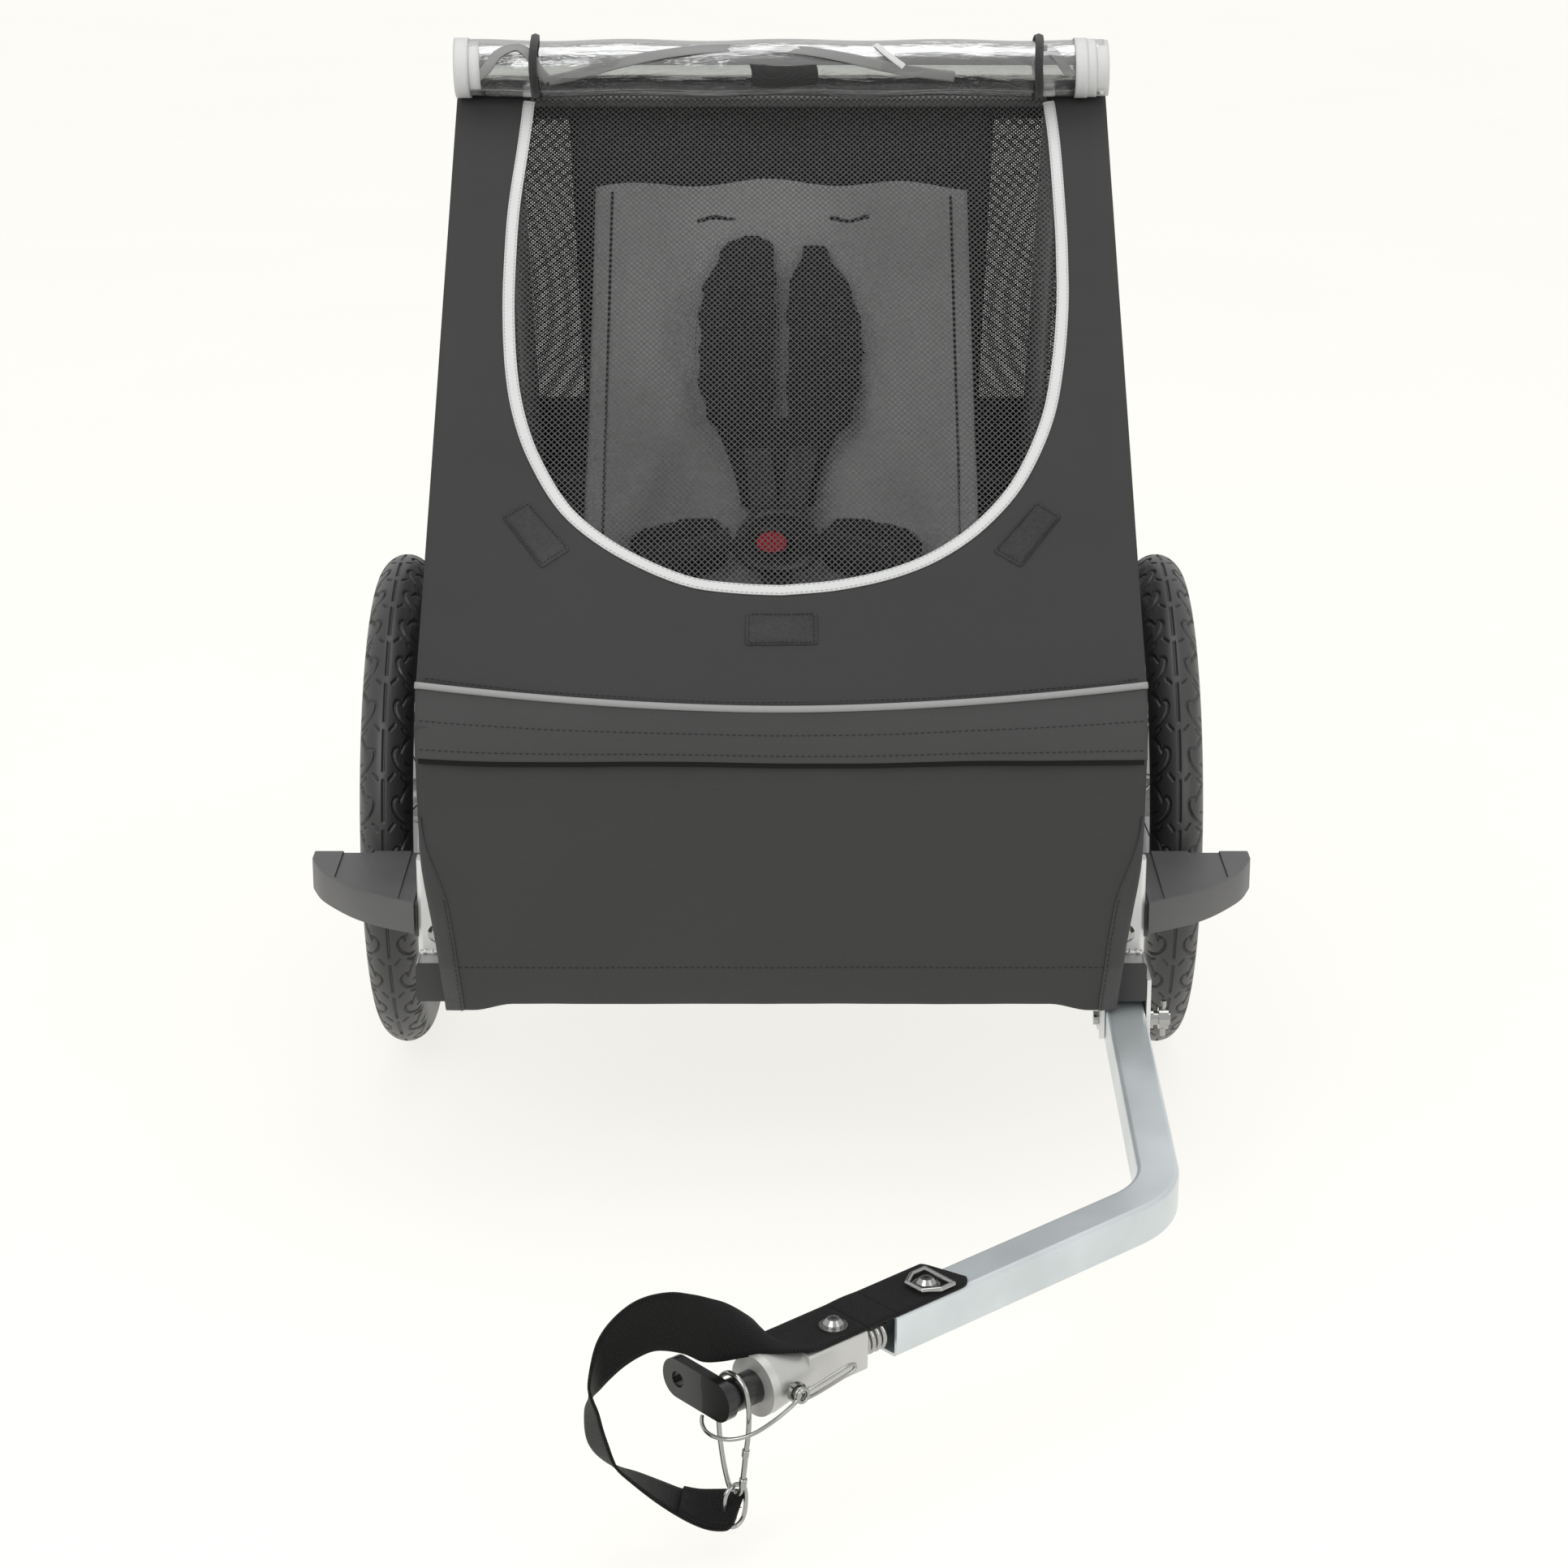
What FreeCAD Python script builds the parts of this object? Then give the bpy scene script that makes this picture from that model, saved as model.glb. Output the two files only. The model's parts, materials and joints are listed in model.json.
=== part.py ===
import FreeCAD, Part
import math
import os

# Child bicycle trailer. Millimetres. +Z up, the front (tow side) faces -Y,
# +X is the trailer's left side, where the tow arm sits. The solids are drawn
# with y = 0 at the axle and moved along +Y as they are written, so that the
# origin lies on the ground under the middle of the overall length and width.
# Paired pieces are drawn on the left and mirrored. A (y, z) pair is a line across the trailer.

Vector = FreeCAD.Vector
X_AXIS, Y_AXIS, Z_AXIS = Vector(1, 0, 0), Vector(0, 1, 0), Vector(0, 0, 1)
ORIGIN = Vector(0, 0, 0)
os.makedirs("parts", exist_ok=True)

# ------------------------------------------------------------------ driving dimensions
FRAME_SHIFT_Y = 276.797    # axle line to the middle of the overall length
WHEEL_R = 199.0            # 16 inch wheel with a 47-305 tyre
WHEEL_X = 305.0            # wheel centre plane
AXLE_Z = WHEEL_R
AXLE_R = 6.0
AXLE_START_X = 240.0       # inner end of the axle and of its receiver

TUBE = 28.6                # square frame tube, 1-1/8 inch
HALF_TUBE = TUBE / 2
TUBE_WALL = 2.0
SIDE_X, SIDE_Z = 252.0, 172.0          # side tube centre
SIDE_INNER_X, SIDE_OUTER_X = SIDE_X - HALF_TUBE, SIDE_X + HALF_TUBE
TUBE_TOP = SIDE_Z + HALF_TUBE
FRONT_Y, REAR_Y = -357.0, 330.0        # side tube ends
FRONT_CROSS_Y, REAR_CROSS_Y = -338.0, 312.0

HALF_W = 257.0             # fabric body half width
SLOPE = math.atan2(375.0, 487.0)
SLOPE_SIN, SLOPE_COS = math.sin(SLOPE), math.cos(SLOPE)
COVER_FOOT = (-392.0, 395.0)           # y, z of the front cover's lower edge
COVER_LEN = 595.0
RAIL_R = 11.0
RAIL_X = 244.0
RAIL_DROP = 14.0           # rail centre line below the cover's outer plane
ELBOW_UP, TOP_UP = 4.0, 612.0          # both rail joints, measured up the cover
LATCH = (338.0, 386.3)     # y, z of the latch notch
PIN_R = 4.0                # elbow, latch and hitch pins
BOLT_R = 3.2


# ------------------------------------------------------------------ helpers
def box(x0, x1, y0, y1, z0, z1):
    return Part.makeBox(x1 - x0, y1 - y0, z1 - z0, Vector(x0, y0, z0))


def cylinder(start, axis, radius, length):
    return Part.makeCylinder(radius, length, Vector(*start), axis)


def x_cylinder(x0, x1, y, z, radius):
    return cylinder((x0, y, z), X_AXIS, radius, x1 - x0)


def rod(start, end, radius, wall=0.0):
    """Round bar between two points, or a tube open at both ends if a wall is given."""
    start = Vector(*start)
    span = Vector(*end) - start
    length = span.Length
    shape = Part.makeCylinder(radius, length, start, span)
    if wall:
        span.normalize()
        shape = shape.cut(Part.makeCylinder(radius - wall, length + 2, start - span, span))
    return shape


def is_along(edge, axis):
    if len(edge.Vertexes) != 2:
        return False
    span = edge.Vertexes[1].Point - edge.Vertexes[0].Point
    return span.Length > 1e-6 and abs(span.normalize().dot(axis)) > 0.999


def rounded(shape, radius, axis=None, where=lambda point: True):
    """Fillet all edges, or those along an axis whose first vertex passes the test."""
    edges = shape.Edges
    if axis is not None:
        edges = [e for e in edges if is_along(e, axis) and where(e.Vertexes[0].Point)]
    # a fillet the kernel can't build leaves the edges sharp
    try:
        return shape.makeFillet(radius, edges)
    except Exception:
        return shape


def mirror(shape):
    return shape.mirror(ORIGIN, X_AXIS)


def both(shape):
    return [shape, mirror(shape)]


def fused(shapes):
    result = shapes[0]
    for shape in shapes[1:]:
        result = result.fuse(shape)
    return result


def polygon_face(corners):
    return Part.Face(Part.makePolygon(corners + [corners[0]]))


def extrude_x(outline, x0, x1):
    """Extrude a (y, z) outline from x0 to x1."""
    return polygon_face([Vector(x0, y, z) for y, z in outline]).extrude(Vector(x1 - x0, 0, 0))


def extrude_z(outline, z0, z1):
    """Extrude an (x, y) outline from z0 to z1."""
    return polygon_face([Vector(x, y, z0) for x, y in outline]).extrude(Vector(0, 0, z1 - z0))


def sheet(outline, y_at, shift, thickness):
    """Sheet from an (x, z) outline on the surface y = y_at(z) + shift, thickened along Y."""
    face = polygon_face([Vector(x, y_at(z) + shift, z) for x, z in outline])
    return face.extrude(Vector(0, thickness, 0))


def slope_point(up, out):
    """y, z of a point at a distance up the cover from its lower edge, and out from it."""
    return (COVER_FOOT[0] + up * SLOPE_COS - out * SLOPE_SIN,
            COVER_FOOT[1] + up * SLOPE_SIN + out * SLOPE_COS)


def slope_plate(outline, out0, out1):
    """Plate parallel to the cover from an (x, up) outline, between two offsets."""
    face = polygon_face([Vector(x, *slope_point(up, out0)) for x, up in outline])
    return face.extrude(Vector(0, -SLOPE_SIN, SLOPE_COS) * (out1 - out0))


def catmull_rom(points, steps):
    """Smooth curve through an open list of points, with the given steps in each span."""
    curve = []
    last = len(points) - 1
    for i in range(last):
        span = points[max(i - 1, 0)], points[i], points[i + 1], points[min(i + 2, last)]
        for k in range(steps):
            t = k / steps
            curve.append(tuple(
                0.5 * ((2 * b) + (-a + c) * t + (2 * a - 5 * b + 4 * c - d) * t * t
                       + (-a + 3 * b - 3 * c + d) * t ** 3)
                for a, b, c, d in zip(*span)))
    curve.append(points[-1])
    return curve


def bent_rod(points, radius, closed=False):
    """Round rod through points, with ball joints at the corners."""
    if closed:
        points = points + points[:2]
    rods = [rod(start, end, radius) for start, end in zip(points, points[1:])]
    balls = [Part.makeSphere(radius, Vector(*point)) for point in points[1:-1]]
    return fused(rods + balls).removeSplitter()


def button_bolt(seat, out, head_r, head_h, shank_len):
    """Button-head socket bolt. seat is under the head, out points out of the head."""
    socket_r = 2.0
    rim_h = head_h * 0.35
    seat = Vector(*seat)
    head = Part.makeCylinder(head_r, rim_h, seat, out)
    dome = Part.makeCone(head_r, head_r * 0.62, head_h * 0.65, seat + out * rim_h, out)
    shank = Part.makeCylinder(BOLT_R, shank_len, seat, out * -1)
    socket = Part.makeCylinder(socket_r, head_h * 0.7, seat + out * (head_h * 0.45), out)
    return head.fuse(dome).fuse(shank).cut(socket).removeSplitter()


def export(name, shapes):
    """Write one solid, or several as a compound, moved from the axle to the origin."""
    if not isinstance(shapes, (list, tuple)):
        shapes = [shapes]
    solids = [solid for shape in shapes for solid in shape.Solids]
    shape = solids[0] if len(solids) == 1 else Part.makeCompound(solids)
    shape.translate(Vector(0, FRAME_SHIFT_Y, 0))
    shape.exportStep("parts/%s.step" % name)


# ------------------------------------------------------------------ base frame
def square_tube(axis, low, high):
    """Square tube filling the box between two corners, open along the axis."""
    low, high = Vector(*low), Vector(*high)
    # in by the wall across the tube, 1 mm past the ends along it
    inset = Vector(TUBE_WALL, TUBE_WALL, TUBE_WALL) - axis * (TUBE_WALL + 1)
    low_in, high_in = low + inset, high - inset
    outer = box(low.x, high.x, low.y, high.y, low.z, high.z)
    inner = box(low_in.x, high_in.x, low_in.y, high_in.y, low_in.z, high_in.z)
    return rounded(outer, 2.5, axis).cut(rounded(inner, 1.2, axis))


def base_frame():
    """Two side tubes, two cross tubes, and an axle receiver on each side."""
    bottom = SIDE_Z - HALF_TUBE
    side = square_tube(Y_AXIS, (SIDE_INNER_X, FRONT_Y, bottom), (SIDE_OUTER_X, REAR_Y, TUBE_TOP))
    cross_x = SIDE_INNER_X - 0.05
    crosses = [square_tube(X_AXIS, (-cross_x, y - HALF_TUBE, bottom),
                           (cross_x, y + HALF_TUBE, TUBE_TOP))
               for y in (FRONT_CROSS_Y, REAR_CROSS_Y)]
    receiver = x_cylinder(AXLE_START_X, 276.0, 0, AXLE_Z, 12.0)
    receiver = receiver.fuse(box(AXLE_START_X, 264, -12, 12, TUBE_TOP, AXLE_Z))
    receiver = receiver.cut(x_cylinder(235, 280, 0, AXLE_Z, AXLE_R + 0.04)).removeSplitter()
    return both(side) + crosses + both(receiver)


def end_cap(x, y, outward):
    def block(half, start, end):
        return box(x - half, x + half, *sorted((y + outward * start, y + outward * end)),
                   SIDE_Z - half, SIDE_Z + half)

    plate = rounded(block(HALF_TUBE, 0, 3.2), 2.4, Y_AXIS)
    plug = block(HALF_TUBE - 2.6, 0, -14)
    hollow = block(HALF_TUBE - 4.2, -3, -15)
    return plate.fuse(plug.cut(hollow)).removeSplitter()


def tube_end_caps():
    return [end_cap(x, y, outward) for x in (-SIDE_X, SIDE_X)
            for y, outward in ((FRONT_Y, -1), (REAR_Y, 1))]


BRACKET_Y = -336.0             # front face of the brackets
BRACKET_REAR_Y = -304.0
BRACKET_WALL = 3.0
BRACKET_TOP = 258.0
FRONT_BOLT_Z = 202.0           # bolt through the front wall
GUARD_BOLT = (-318.0, 212.0)   # y, z of the bolt through the outer wall and the wheel guard


def front_brackets():
    """Angles on the side tubes, each with a front wall, an outer wall and a weld bead."""
    bracket = box(SIDE_INNER_X + 0.5, SIDE_OUTER_X, BRACKET_Y, BRACKET_REAR_Y,
                  TUBE_TOP + 0.05, BRACKET_TOP)
    bracket = rounded(bracket, 4.0, Z_AXIS, lambda point: point.y < -330)
    bracket = bracket.cut(box(SIDE_INNER_X - 1, SIDE_OUTER_X - BRACKET_WALL,
                              BRACKET_Y + BRACKET_WALL, -300, 180, 260))
    # the outer wall is lower than the front wall
    bracket = bracket.cut(box(SIDE_INNER_X - 1, SIDE_OUTER_X + 1, -322, -300, 246, 262))
    bracket = bracket.cut(cylinder((SIDE_X, BRACKET_Y - 2, FRONT_BOLT_Z), Y_AXIS, 3.3, 8))
    bracket = bracket.cut(x_cylinder(SIDE_OUTER_X - 6, SIDE_OUTER_X + 4, *GUARD_BOLT, 3.3))
    bead_y, bead_z = BRACKET_Y - 0.6, 187.6
    bead = rod((SIDE_INNER_X + 3, bead_y, bead_z), (SIDE_OUTER_X - 3, bead_y, bead_z), 1.25)
    return both(bracket.fuse(bead))


def bracket_bolts():
    bolts = []
    for side in (-1, 1):
        bolts.append(button_bolt((side * SIDE_X, BRACKET_Y - 0.05, FRONT_BOLT_Z), Y_AXIS * -1,
                                 head_r=7.0, head_h=4.6, shank_len=5))
        bolts.append(button_bolt((side * (SIDE_OUTER_X + 3.2), *GUARD_BOLT), X_AXIS * side,
                                 head_r=6.2, head_h=4.2, shank_len=8))
    return bolts


# ------------------------------------------------------------------ uprights
ELBOW = slope_point(ELBOW_UP, -RAIL_DROP)
TOP = slope_point(TOP_UP, -RAIL_DROP)
UPRIGHT_R = 10.8
UPRIGHT_WALL = 1.6
EYE_R = 9.8                # ears of the uprights and eyes of the rails at the elbow


def front_uprights():
    """Bent tube with a block and two ears on top that hold the elbow pin."""
    x, y = 244.3, -318.5
    bend, head = (x, y, 262.0), (244.0, -370.5, 352.0)
    upright = bent_rod([(x, y, 186.7), bend, head], UPRIGHT_R)
    upright = upright.cut(bent_rod([(x, y, 180), bend, head], UPRIGHT_R - UPRIGHT_WALL))
    block = rounded(box(231.5, 255.2, -384, -360.5, 349.5, 365.5), 2.0, X_AXIS)
    ears = []
    for x0, x1 in ((231.5, 237.4), (250.6, 255.2)):
        web = extrude_x([(ELBOW[0] - EYE_R, ELBOW[1]), (ELBOW[0] + EYE_R, ELBOW[1]),
                         (-362, 364), (-384, 364)], x0, x1)
        ears.append(x_cylinder(x0, x1, *ELBOW, EYE_R).fuse(web))
    upright = upright.fuse(block).fuse(fused(ears))
    return both(upright.cut(x_cylinder(225, 260, *ELBOW, PIN_R + 0.02)).removeSplitter())


def elbow_pins():
    pin = x_cylinder(231.0, 255.2, *ELBOW, PIN_R)
    return both(pin.fuse(x_cylinder(229.0, 231.4, *ELBOW, 6.2)).removeSplitter())


def rear_uprights():
    """Tubes that carry the latch plates; each notch opens forwards and down."""
    upright = rod((243.5, 317, 188.2), (243.5, 337.5, 338), UPRIGHT_R, UPRIGHT_WALL)
    upright = upright.fuse(box(232, 254.3, 326, 349, 337, 350))
    plate = rounded(box(232, 236, 326, 347, 349, 397), 6.0, X_AXIS, lambda point: point.z > 390)
    # the notch widens by half over its length
    notch_r, notch_len = 4.6, 60
    angle = math.radians(234.9)
    notch = []
    for side, along in ((-1, 0), (-1, notch_len), (1, notch_len), (1, 0)):
        half = side * notch_r * (1 + 0.5 * along / notch_len)
        notch.append((LATCH[0] + along * math.cos(angle) - half * math.sin(angle),
                      LATCH[1] + along * math.sin(angle) + half * math.cos(angle)))
    plate = plate.cut(extrude_x(notch, 231, 237).fuse(x_cylinder(231, 237, *LATCH, notch_r)))
    return both(upright.fuse(plate).removeSplitter())


# ------------------------------------------------------------------ canopy rails and struts
CROSSBAR_R = 10.0
STRUT_R = 10.0
STRUT_X = 220.0
STRUT_DIR = Vector(0, LATCH[0] - TOP[0], LATCH[1] - TOP[1])
STRUT_LEN = STRUT_DIR.Length           # top crossbar to latch
STRUT_DIR.normalize()


def rail_point(up):
    return (RAIL_X, *slope_point(up, -RAIL_DROP))


def strut_point(down):
    return Vector(STRUT_X, *TOP) + STRUT_DIR * down


def canopy_rails():
    """Rails with an inner hollow, narrowed to an eye at the elbow, with a hub at the top."""
    rail = rod(rail_point(ELBOW_UP + 9), rail_point(TOP_UP - 8), RAIL_R)
    rail = rail.cut(rod(rail_point(ELBOW_UP + 16), rail_point(TOP_UP - 16), RAIL_R - 1.6))
    eye_x0, eye_x1 = 237.9, 250.1
    for x0, x1 in ((225, eye_x0), (eye_x1, 262)):
        rail = rail.cut(box(x0, x1, -420, ELBOW[0] + 13 * SLOPE_COS + 8, 360, ELBOW[1] + 22))
    rail = rail.fuse(x_cylinder(eye_x0, eye_x1, *ELBOW, EYE_R))
    rail = rail.cut(x_cylinder(230, 260, *ELBOW, PIN_R + 0.06))
    return both(rail.fuse(x_cylinder(233.3, 254.9, *TOP, 11.8)).removeSplitter())


def top_crossbar():
    bar = x_cylinder(-232.9, 232.9, *TOP, CROSSBAR_R)
    return bar.cut(x_cylinder(-225, 225, *TOP, CROSSBAR_R - 2))


def rear_struts():
    """Hollow struts from a collar on the crossbar down to the latch."""
    strut = rod(strut_point(11.5), strut_point(STRUT_LEN + 9), STRUT_R)
    strut = strut.cut(rod(strut_point(20), strut_point(STRUT_LEN - 14), STRUT_R - 1.5))
    strut = strut.fuse(x_cylinder(210.5, 229.5, *TOP, 14.0))
    strut = strut.cut(x_cylinder(205, 235, *TOP, CROSSBAR_R + 0.06))
    strut = strut.cut(x_cylinder(205, 235, *LATCH, PIN_R + 0.06))
    return both(strut.removeSplitter())


def latch_plunger():
    knob = rounded(x_cylinder(203.5, 209.6, *LATCH, 8.0), 1.2)
    return x_cylinder(206.0, 237.6, *LATCH, PIN_R).fuse(knob).removeSplitter()


# ------------------------------------------------------------------ fabric: front cover
# left edge of the window from its top down to the middle of its lower edge: x, up the cover
WINDOW_EDGE = catmull_rom([
    (210.7, COVER_LEN - 6), (210.6, 523), (210, 411), (206, 330), (198, 272), (182, 222),
    (158, 175), (128, 141), (84, 116), (40, 104), (0, 100)], 5)
WINDOW_RISE = 6            # the cut window sits this far above the edge curve

# three patches on the cover: x, up the cover
PATCHES = [
    [(-202, 100), (-184, 116), (-158, 92), (-176, 74)],
    [(202, 100), (184, 116), (158, 92), (176, 74)],
    [(-29, 38), (28, 38), (28, 72), (-29, 72)],
]


def window_outline(grow, top):
    """Closed U outline, grown sideways and downwards and cut off at the top."""
    half = [(x * 0.97 + grow, up + WINDOW_RISE - grow)
            for x, up in WINDOW_EDGE if up + WINDOW_RISE < top - 2]
    half = [(half[0][0], top)] + half[:-1]
    lowest = (0.0, WINDOW_EDGE[-1][1] + WINDOW_RISE - grow)
    return half + [lowest] + [(-x, up) for x, up in reversed(half)]


def front_cover():
    """Sloping cover with its window cut out, and the piping along its lower edge."""
    outline = [(-HALF_W, 0), (HALF_W, 0), (HALF_W, COVER_LEN), (-HALF_W, COVER_LEN)]
    window = slope_plate(window_outline(0.0, COVER_LEN - 14), -5, 5)
    cover = slope_plate(outline, -2.0, 0.0).cut(window)
    piping = x_cylinder(-HALF_W - 1, HALF_W + 1, COVER_FOOT[0] - 2.5, COVER_FOOT[1] - 3.0, 2.8)
    return [cover, piping]


def window_mesh():
    gap = 1.2
    return slope_plate(window_outline(-gap, COVER_LEN - 14 - gap), -1.6, -0.6)


def closure_patches():
    return [slope_plate(outline, 0.1, 1.4) for outline in PATCHES]


def rain_cover_roll():
    """Rolled-up rain cover with its two elastic keepers."""
    centre = (70.0, 782.0)
    roll = x_cylinder(-HALF_W, HALF_W, *centre, 22.8)
    pieces = [roll.cut(x_cylinder(-HALF_W - 1, HALF_W + 1, *centre, 7.0))]
    for x in (-203.0, 207.0):
        keeper = x_cylinder(x - 4, x + 4, *centre, 24.3)
        pieces.append(keeper.cut(x_cylinder(x - 5, x + 5, *centre, 22.95)))
    return pieces


# ------------------------------------------------------------------ fabric: body
BODY_TOP = 384.0
BODY_REAR_Y = 352.0


def front_panel_y(z):
    """The front panel leans forwards as it rises."""
    return -377.0 - 14.5 * (z - 165.0) / 219.0


def front_lower_panel():
    """Panel narrowing towards the floor, with a flap over its upper edge."""
    panel = [(-HALF_W, 375), (HALF_W, 375), (HALF_W, 300), (238, 166), (-238, 166),
             (-HALF_W, 300)]
    flap = [(-HALF_W, BODY_TOP), (HALF_W, BODY_TOP), (HALF_W, 351), (-HALF_W, 351)]
    return [sheet(panel, front_panel_y, 0, 2.0), sheet(flap, front_panel_y, -1.5, -1.8)]


def side_panels_lower():
    """Side sheets with an opening round the axle receiver, and a pocket inside each."""
    outline = [(-332.5, 187), (-332.5, 260.5), (-377, 260.5), (-388, BODY_TOP),
               (351, BODY_TOP), (351, 187)]
    panel = extrude_x(outline, 256.2, HALF_W).cut(box(250, 260, -18, 18, 180, 216))
    pocket = rounded(box(238.5, 252.5, -210, -20, 232, 376), 5.0)
    return both(panel.removeSplitter()) + both(pocket)


def rear_wall():
    return box(-HALF_W, HALF_W, BODY_REAR_Y, BODY_REAR_Y + 2.2, 150, BODY_TOP)


def tub_floor():
    return box(-231, 231, -366, 350, 186.9, 189.0)


def rear_point(down, out):
    """y, z of a point down the struts from the crossbar and out to the rear of them."""
    return (TOP[0] + STRUT_DIR.y * down - STRUT_DIR.z * out,
            TOP[1] + STRUT_DIR.z * down + STRUT_DIR.y * out)


def side_windows():
    outline = [slope_point(4, -3.2), slope_point(TOP_UP + 6, -3.2), rear_point(2, 12.0),
               rear_point(STRUT_LEN - 1, 12.0), (350, 386.0), (-382, 386.0)]
    return both(extrude_x(outline, 255.4, HALF_W))


def rear_upper_panel():
    start, end = -4, STRUT_LEN - 4
    inner, outer = 14.6, 16.4
    return extrude_x([rear_point(start, inner), rear_point(end, inner),
                      rear_point(end, outer), rear_point(start, outer)], -HALF_W, HALF_W)


# ------------------------------------------------------------------ seat and harness
# right shoulder strap pad below its top corner: x before the side sign, z
SHOULDER_PAD = [(8, 600), (2, 540), (2, 478), (22, 470), (52, 492), (68, 530), (64, 580),
                (44, 624)]


def seat_support_hoops():
    foot_z, shoulder_z, top_z = 189.2, 300, 318
    return [bent_rod([(-178, y, foot_z), (-178, y, shoulder_z), (-160, y, top_z),
                      (160, y, top_z), (178, y, shoulder_z), (178, y, foot_z)], 8.0)
            for y in (-108.0, 42.0)]


def seat_pan():
    return rounded(box(-168, 168, -132, 62, 327, 350), 9.0)


def seat_back_y(z):
    """Front face of the seat back, which leans to the rear as it rises."""
    return 66.0 + (z - 352.0) * 46.0 / 328.0


def seat_back():
    return sheet([(-163, 352), (163, 352), (150, 688), (-150, 688)], seat_back_y, 0, 7)


def shoulder_straps():
    """Two pads in front of the seat back, each with a short web above it."""
    pads = []
    for side, top in ((-1, (-23.0, 652.0)), (1, (28.0, 640.0))):
        outline = [top] + [(side * x, z) for x, z in SHOULDER_PAD]
        pads.append(sheet(outline, seat_back_y, -2.0, -11))
    high, low = 680, 655
    web = [(seat_back_y(high) - 1.8, high), (seat_back_y(low) - 1.8, low),
           (seat_back_y(low) - 0.4, low), (seat_back_y(high) - 0.4, high)]
    return pads + [extrude_x(web, x - 12, x + 12) for x in (-24, 26)]


def buckle_body():
    body = rounded(box(-40, 30, 22, 40, 383, 435), 7.0)
    return body.cut(box(-21, 5, 18, 33, 400, 418))


def buckle_button():
    """Oval button: a cylinder stretched along X."""
    stretch = FreeCAD.Matrix()
    stretch.scale(1.5, 1, 1)
    button = cylinder(ORIGIN, Y_AXIS, 8.2, 12).transformGeometry(stretch)
    button.translate(Vector(-8, 18.5, 409))
    return button


def waist_pads():
    left = rounded(box(38, 108, 36, 50, 368, 412), 6.0)
    left.rotate(Vector(60, 42, 390), Y_AXIS, 14)
    right = mirror(left)
    right.translate(Vector(-10, 0, 0))
    return [right, left]


def crotch_strap():
    return extrude_x([(-20, 350.4), (31, 351.2), (34.5, 382.6), (32.5, 382.6), (29, 353.2),
                      (-20, 352.4)], -18, 10)


# ------------------------------------------------------------------ wheel guards
GUARD_BACK_Y = -220.0
GUARD_BOTTOM, GUARD_TOP = 203.0, 227.0
# curved front edge of the guard and of the space inside it, from the outer side in: x, y
GUARD_OUTER = [(355.0, -233.0), (352.6, -245.5), (344.9, -266.4), (330.8, -288.8),
               (314.7, -309.0), (295.6, -325.4), (268.4, -341.5)]
GUARD_INNER = [(351.6, -232.0), (349.4, -244.6), (342.0, -264.8), (328.3, -286.4),
               (312.5, -306.2), (293.9, -322.1), (271.4, -336.0)]


def wheel_guards():
    """Shells in front of the wheels, open below and to the rear, bolted to the brackets."""
    guard = extrude_z([(268.4, GUARD_BACK_Y), (353.5, GUARD_BACK_Y), (355.0, -221.5)]
                      + GUARD_OUTER, GUARD_BOTTOM, GUARD_TOP)
    inside = [(271.4, GUARD_BACK_Y - 3), (351.6, GUARD_BACK_Y - 3)] + GUARD_INNER
    guard = guard.cut(extrude_z(inside, GUARD_BOTTOM - 1, GUARD_TOP - 3.0))
    # two recessed fields in the top, with a narrow rim left round them
    field = extrude_z(inside, GUARD_TOP - 1.4, GUARD_TOP + 1)
    for x0, x1 in ((309.0, 333.0), (271.4, 281.0)):
        guard = guard.cut(field.common(box(x0, x1, -345, -200, GUARD_BOTTOM, GUARD_TOP + 2)))
    # fixing tab with its bolt hole and room for the bolt head
    guard = guard.fuse(box(SIDE_OUTER_X + 0.05, 269.4, -334, -304, 198, 224))
    guard = guard.cut(x_cylinder(260, 275, *GUARD_BOLT, 3.35))
    return both(guard.cut(x_cylinder(269.45, 276, *GUARD_BOLT, 7.0)).removeSplitter())


# ------------------------------------------------------------------ wheels
TYRE_HALF_W = 20.5
TYRE_HALF_H = 23.5
BEAD_R = 153.2
RIM_FLANGE_R = 159.0
RIM_INNER_R = 143.0
SPOKES = 20
BEARING_W = 8.0


def revolved(outline, wheel_x):
    """Revolve an (x, radius) outline about the wheel axis."""
    face = polygon_face([Vector(wheel_x + x, 0, AXLE_Z + radius) for x, radius in outline])
    return face.revolve(Vector(wheel_x, 0, AXLE_Z), X_AXIS, 360)


def ellipse_arc(half_w, half_h, centre_r, start, end):
    """x, radius points on an ellipse; angles in degrees from its outermost point."""
    steps = 26
    angles = [math.radians(start + (end - start) * k / steps) for k in range(steps + 1)]
    return [(half_w * math.sin(angle), centre_r + half_h * math.cos(angle))
            for angle in angles]


def tyre(wheel_x):
    centre_r = WHEEL_R - TYRE_HALF_H
    outer = ellipse_arc(TYRE_HALF_W, TYRE_HALF_H, centre_r, -133, 133)
    inner = ellipse_arc(17.6, 19.0, centre_r + 0.5, 150, -150)
    left_bead = [(9.8, 159.4), (9.8, BEAD_R), (7.6, BEAD_R)]
    right_bead = [(-x, radius) for x, radius in reversed(left_bead)]
    return revolved(outer + left_bead + inner + right_bead, wheel_x)


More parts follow.
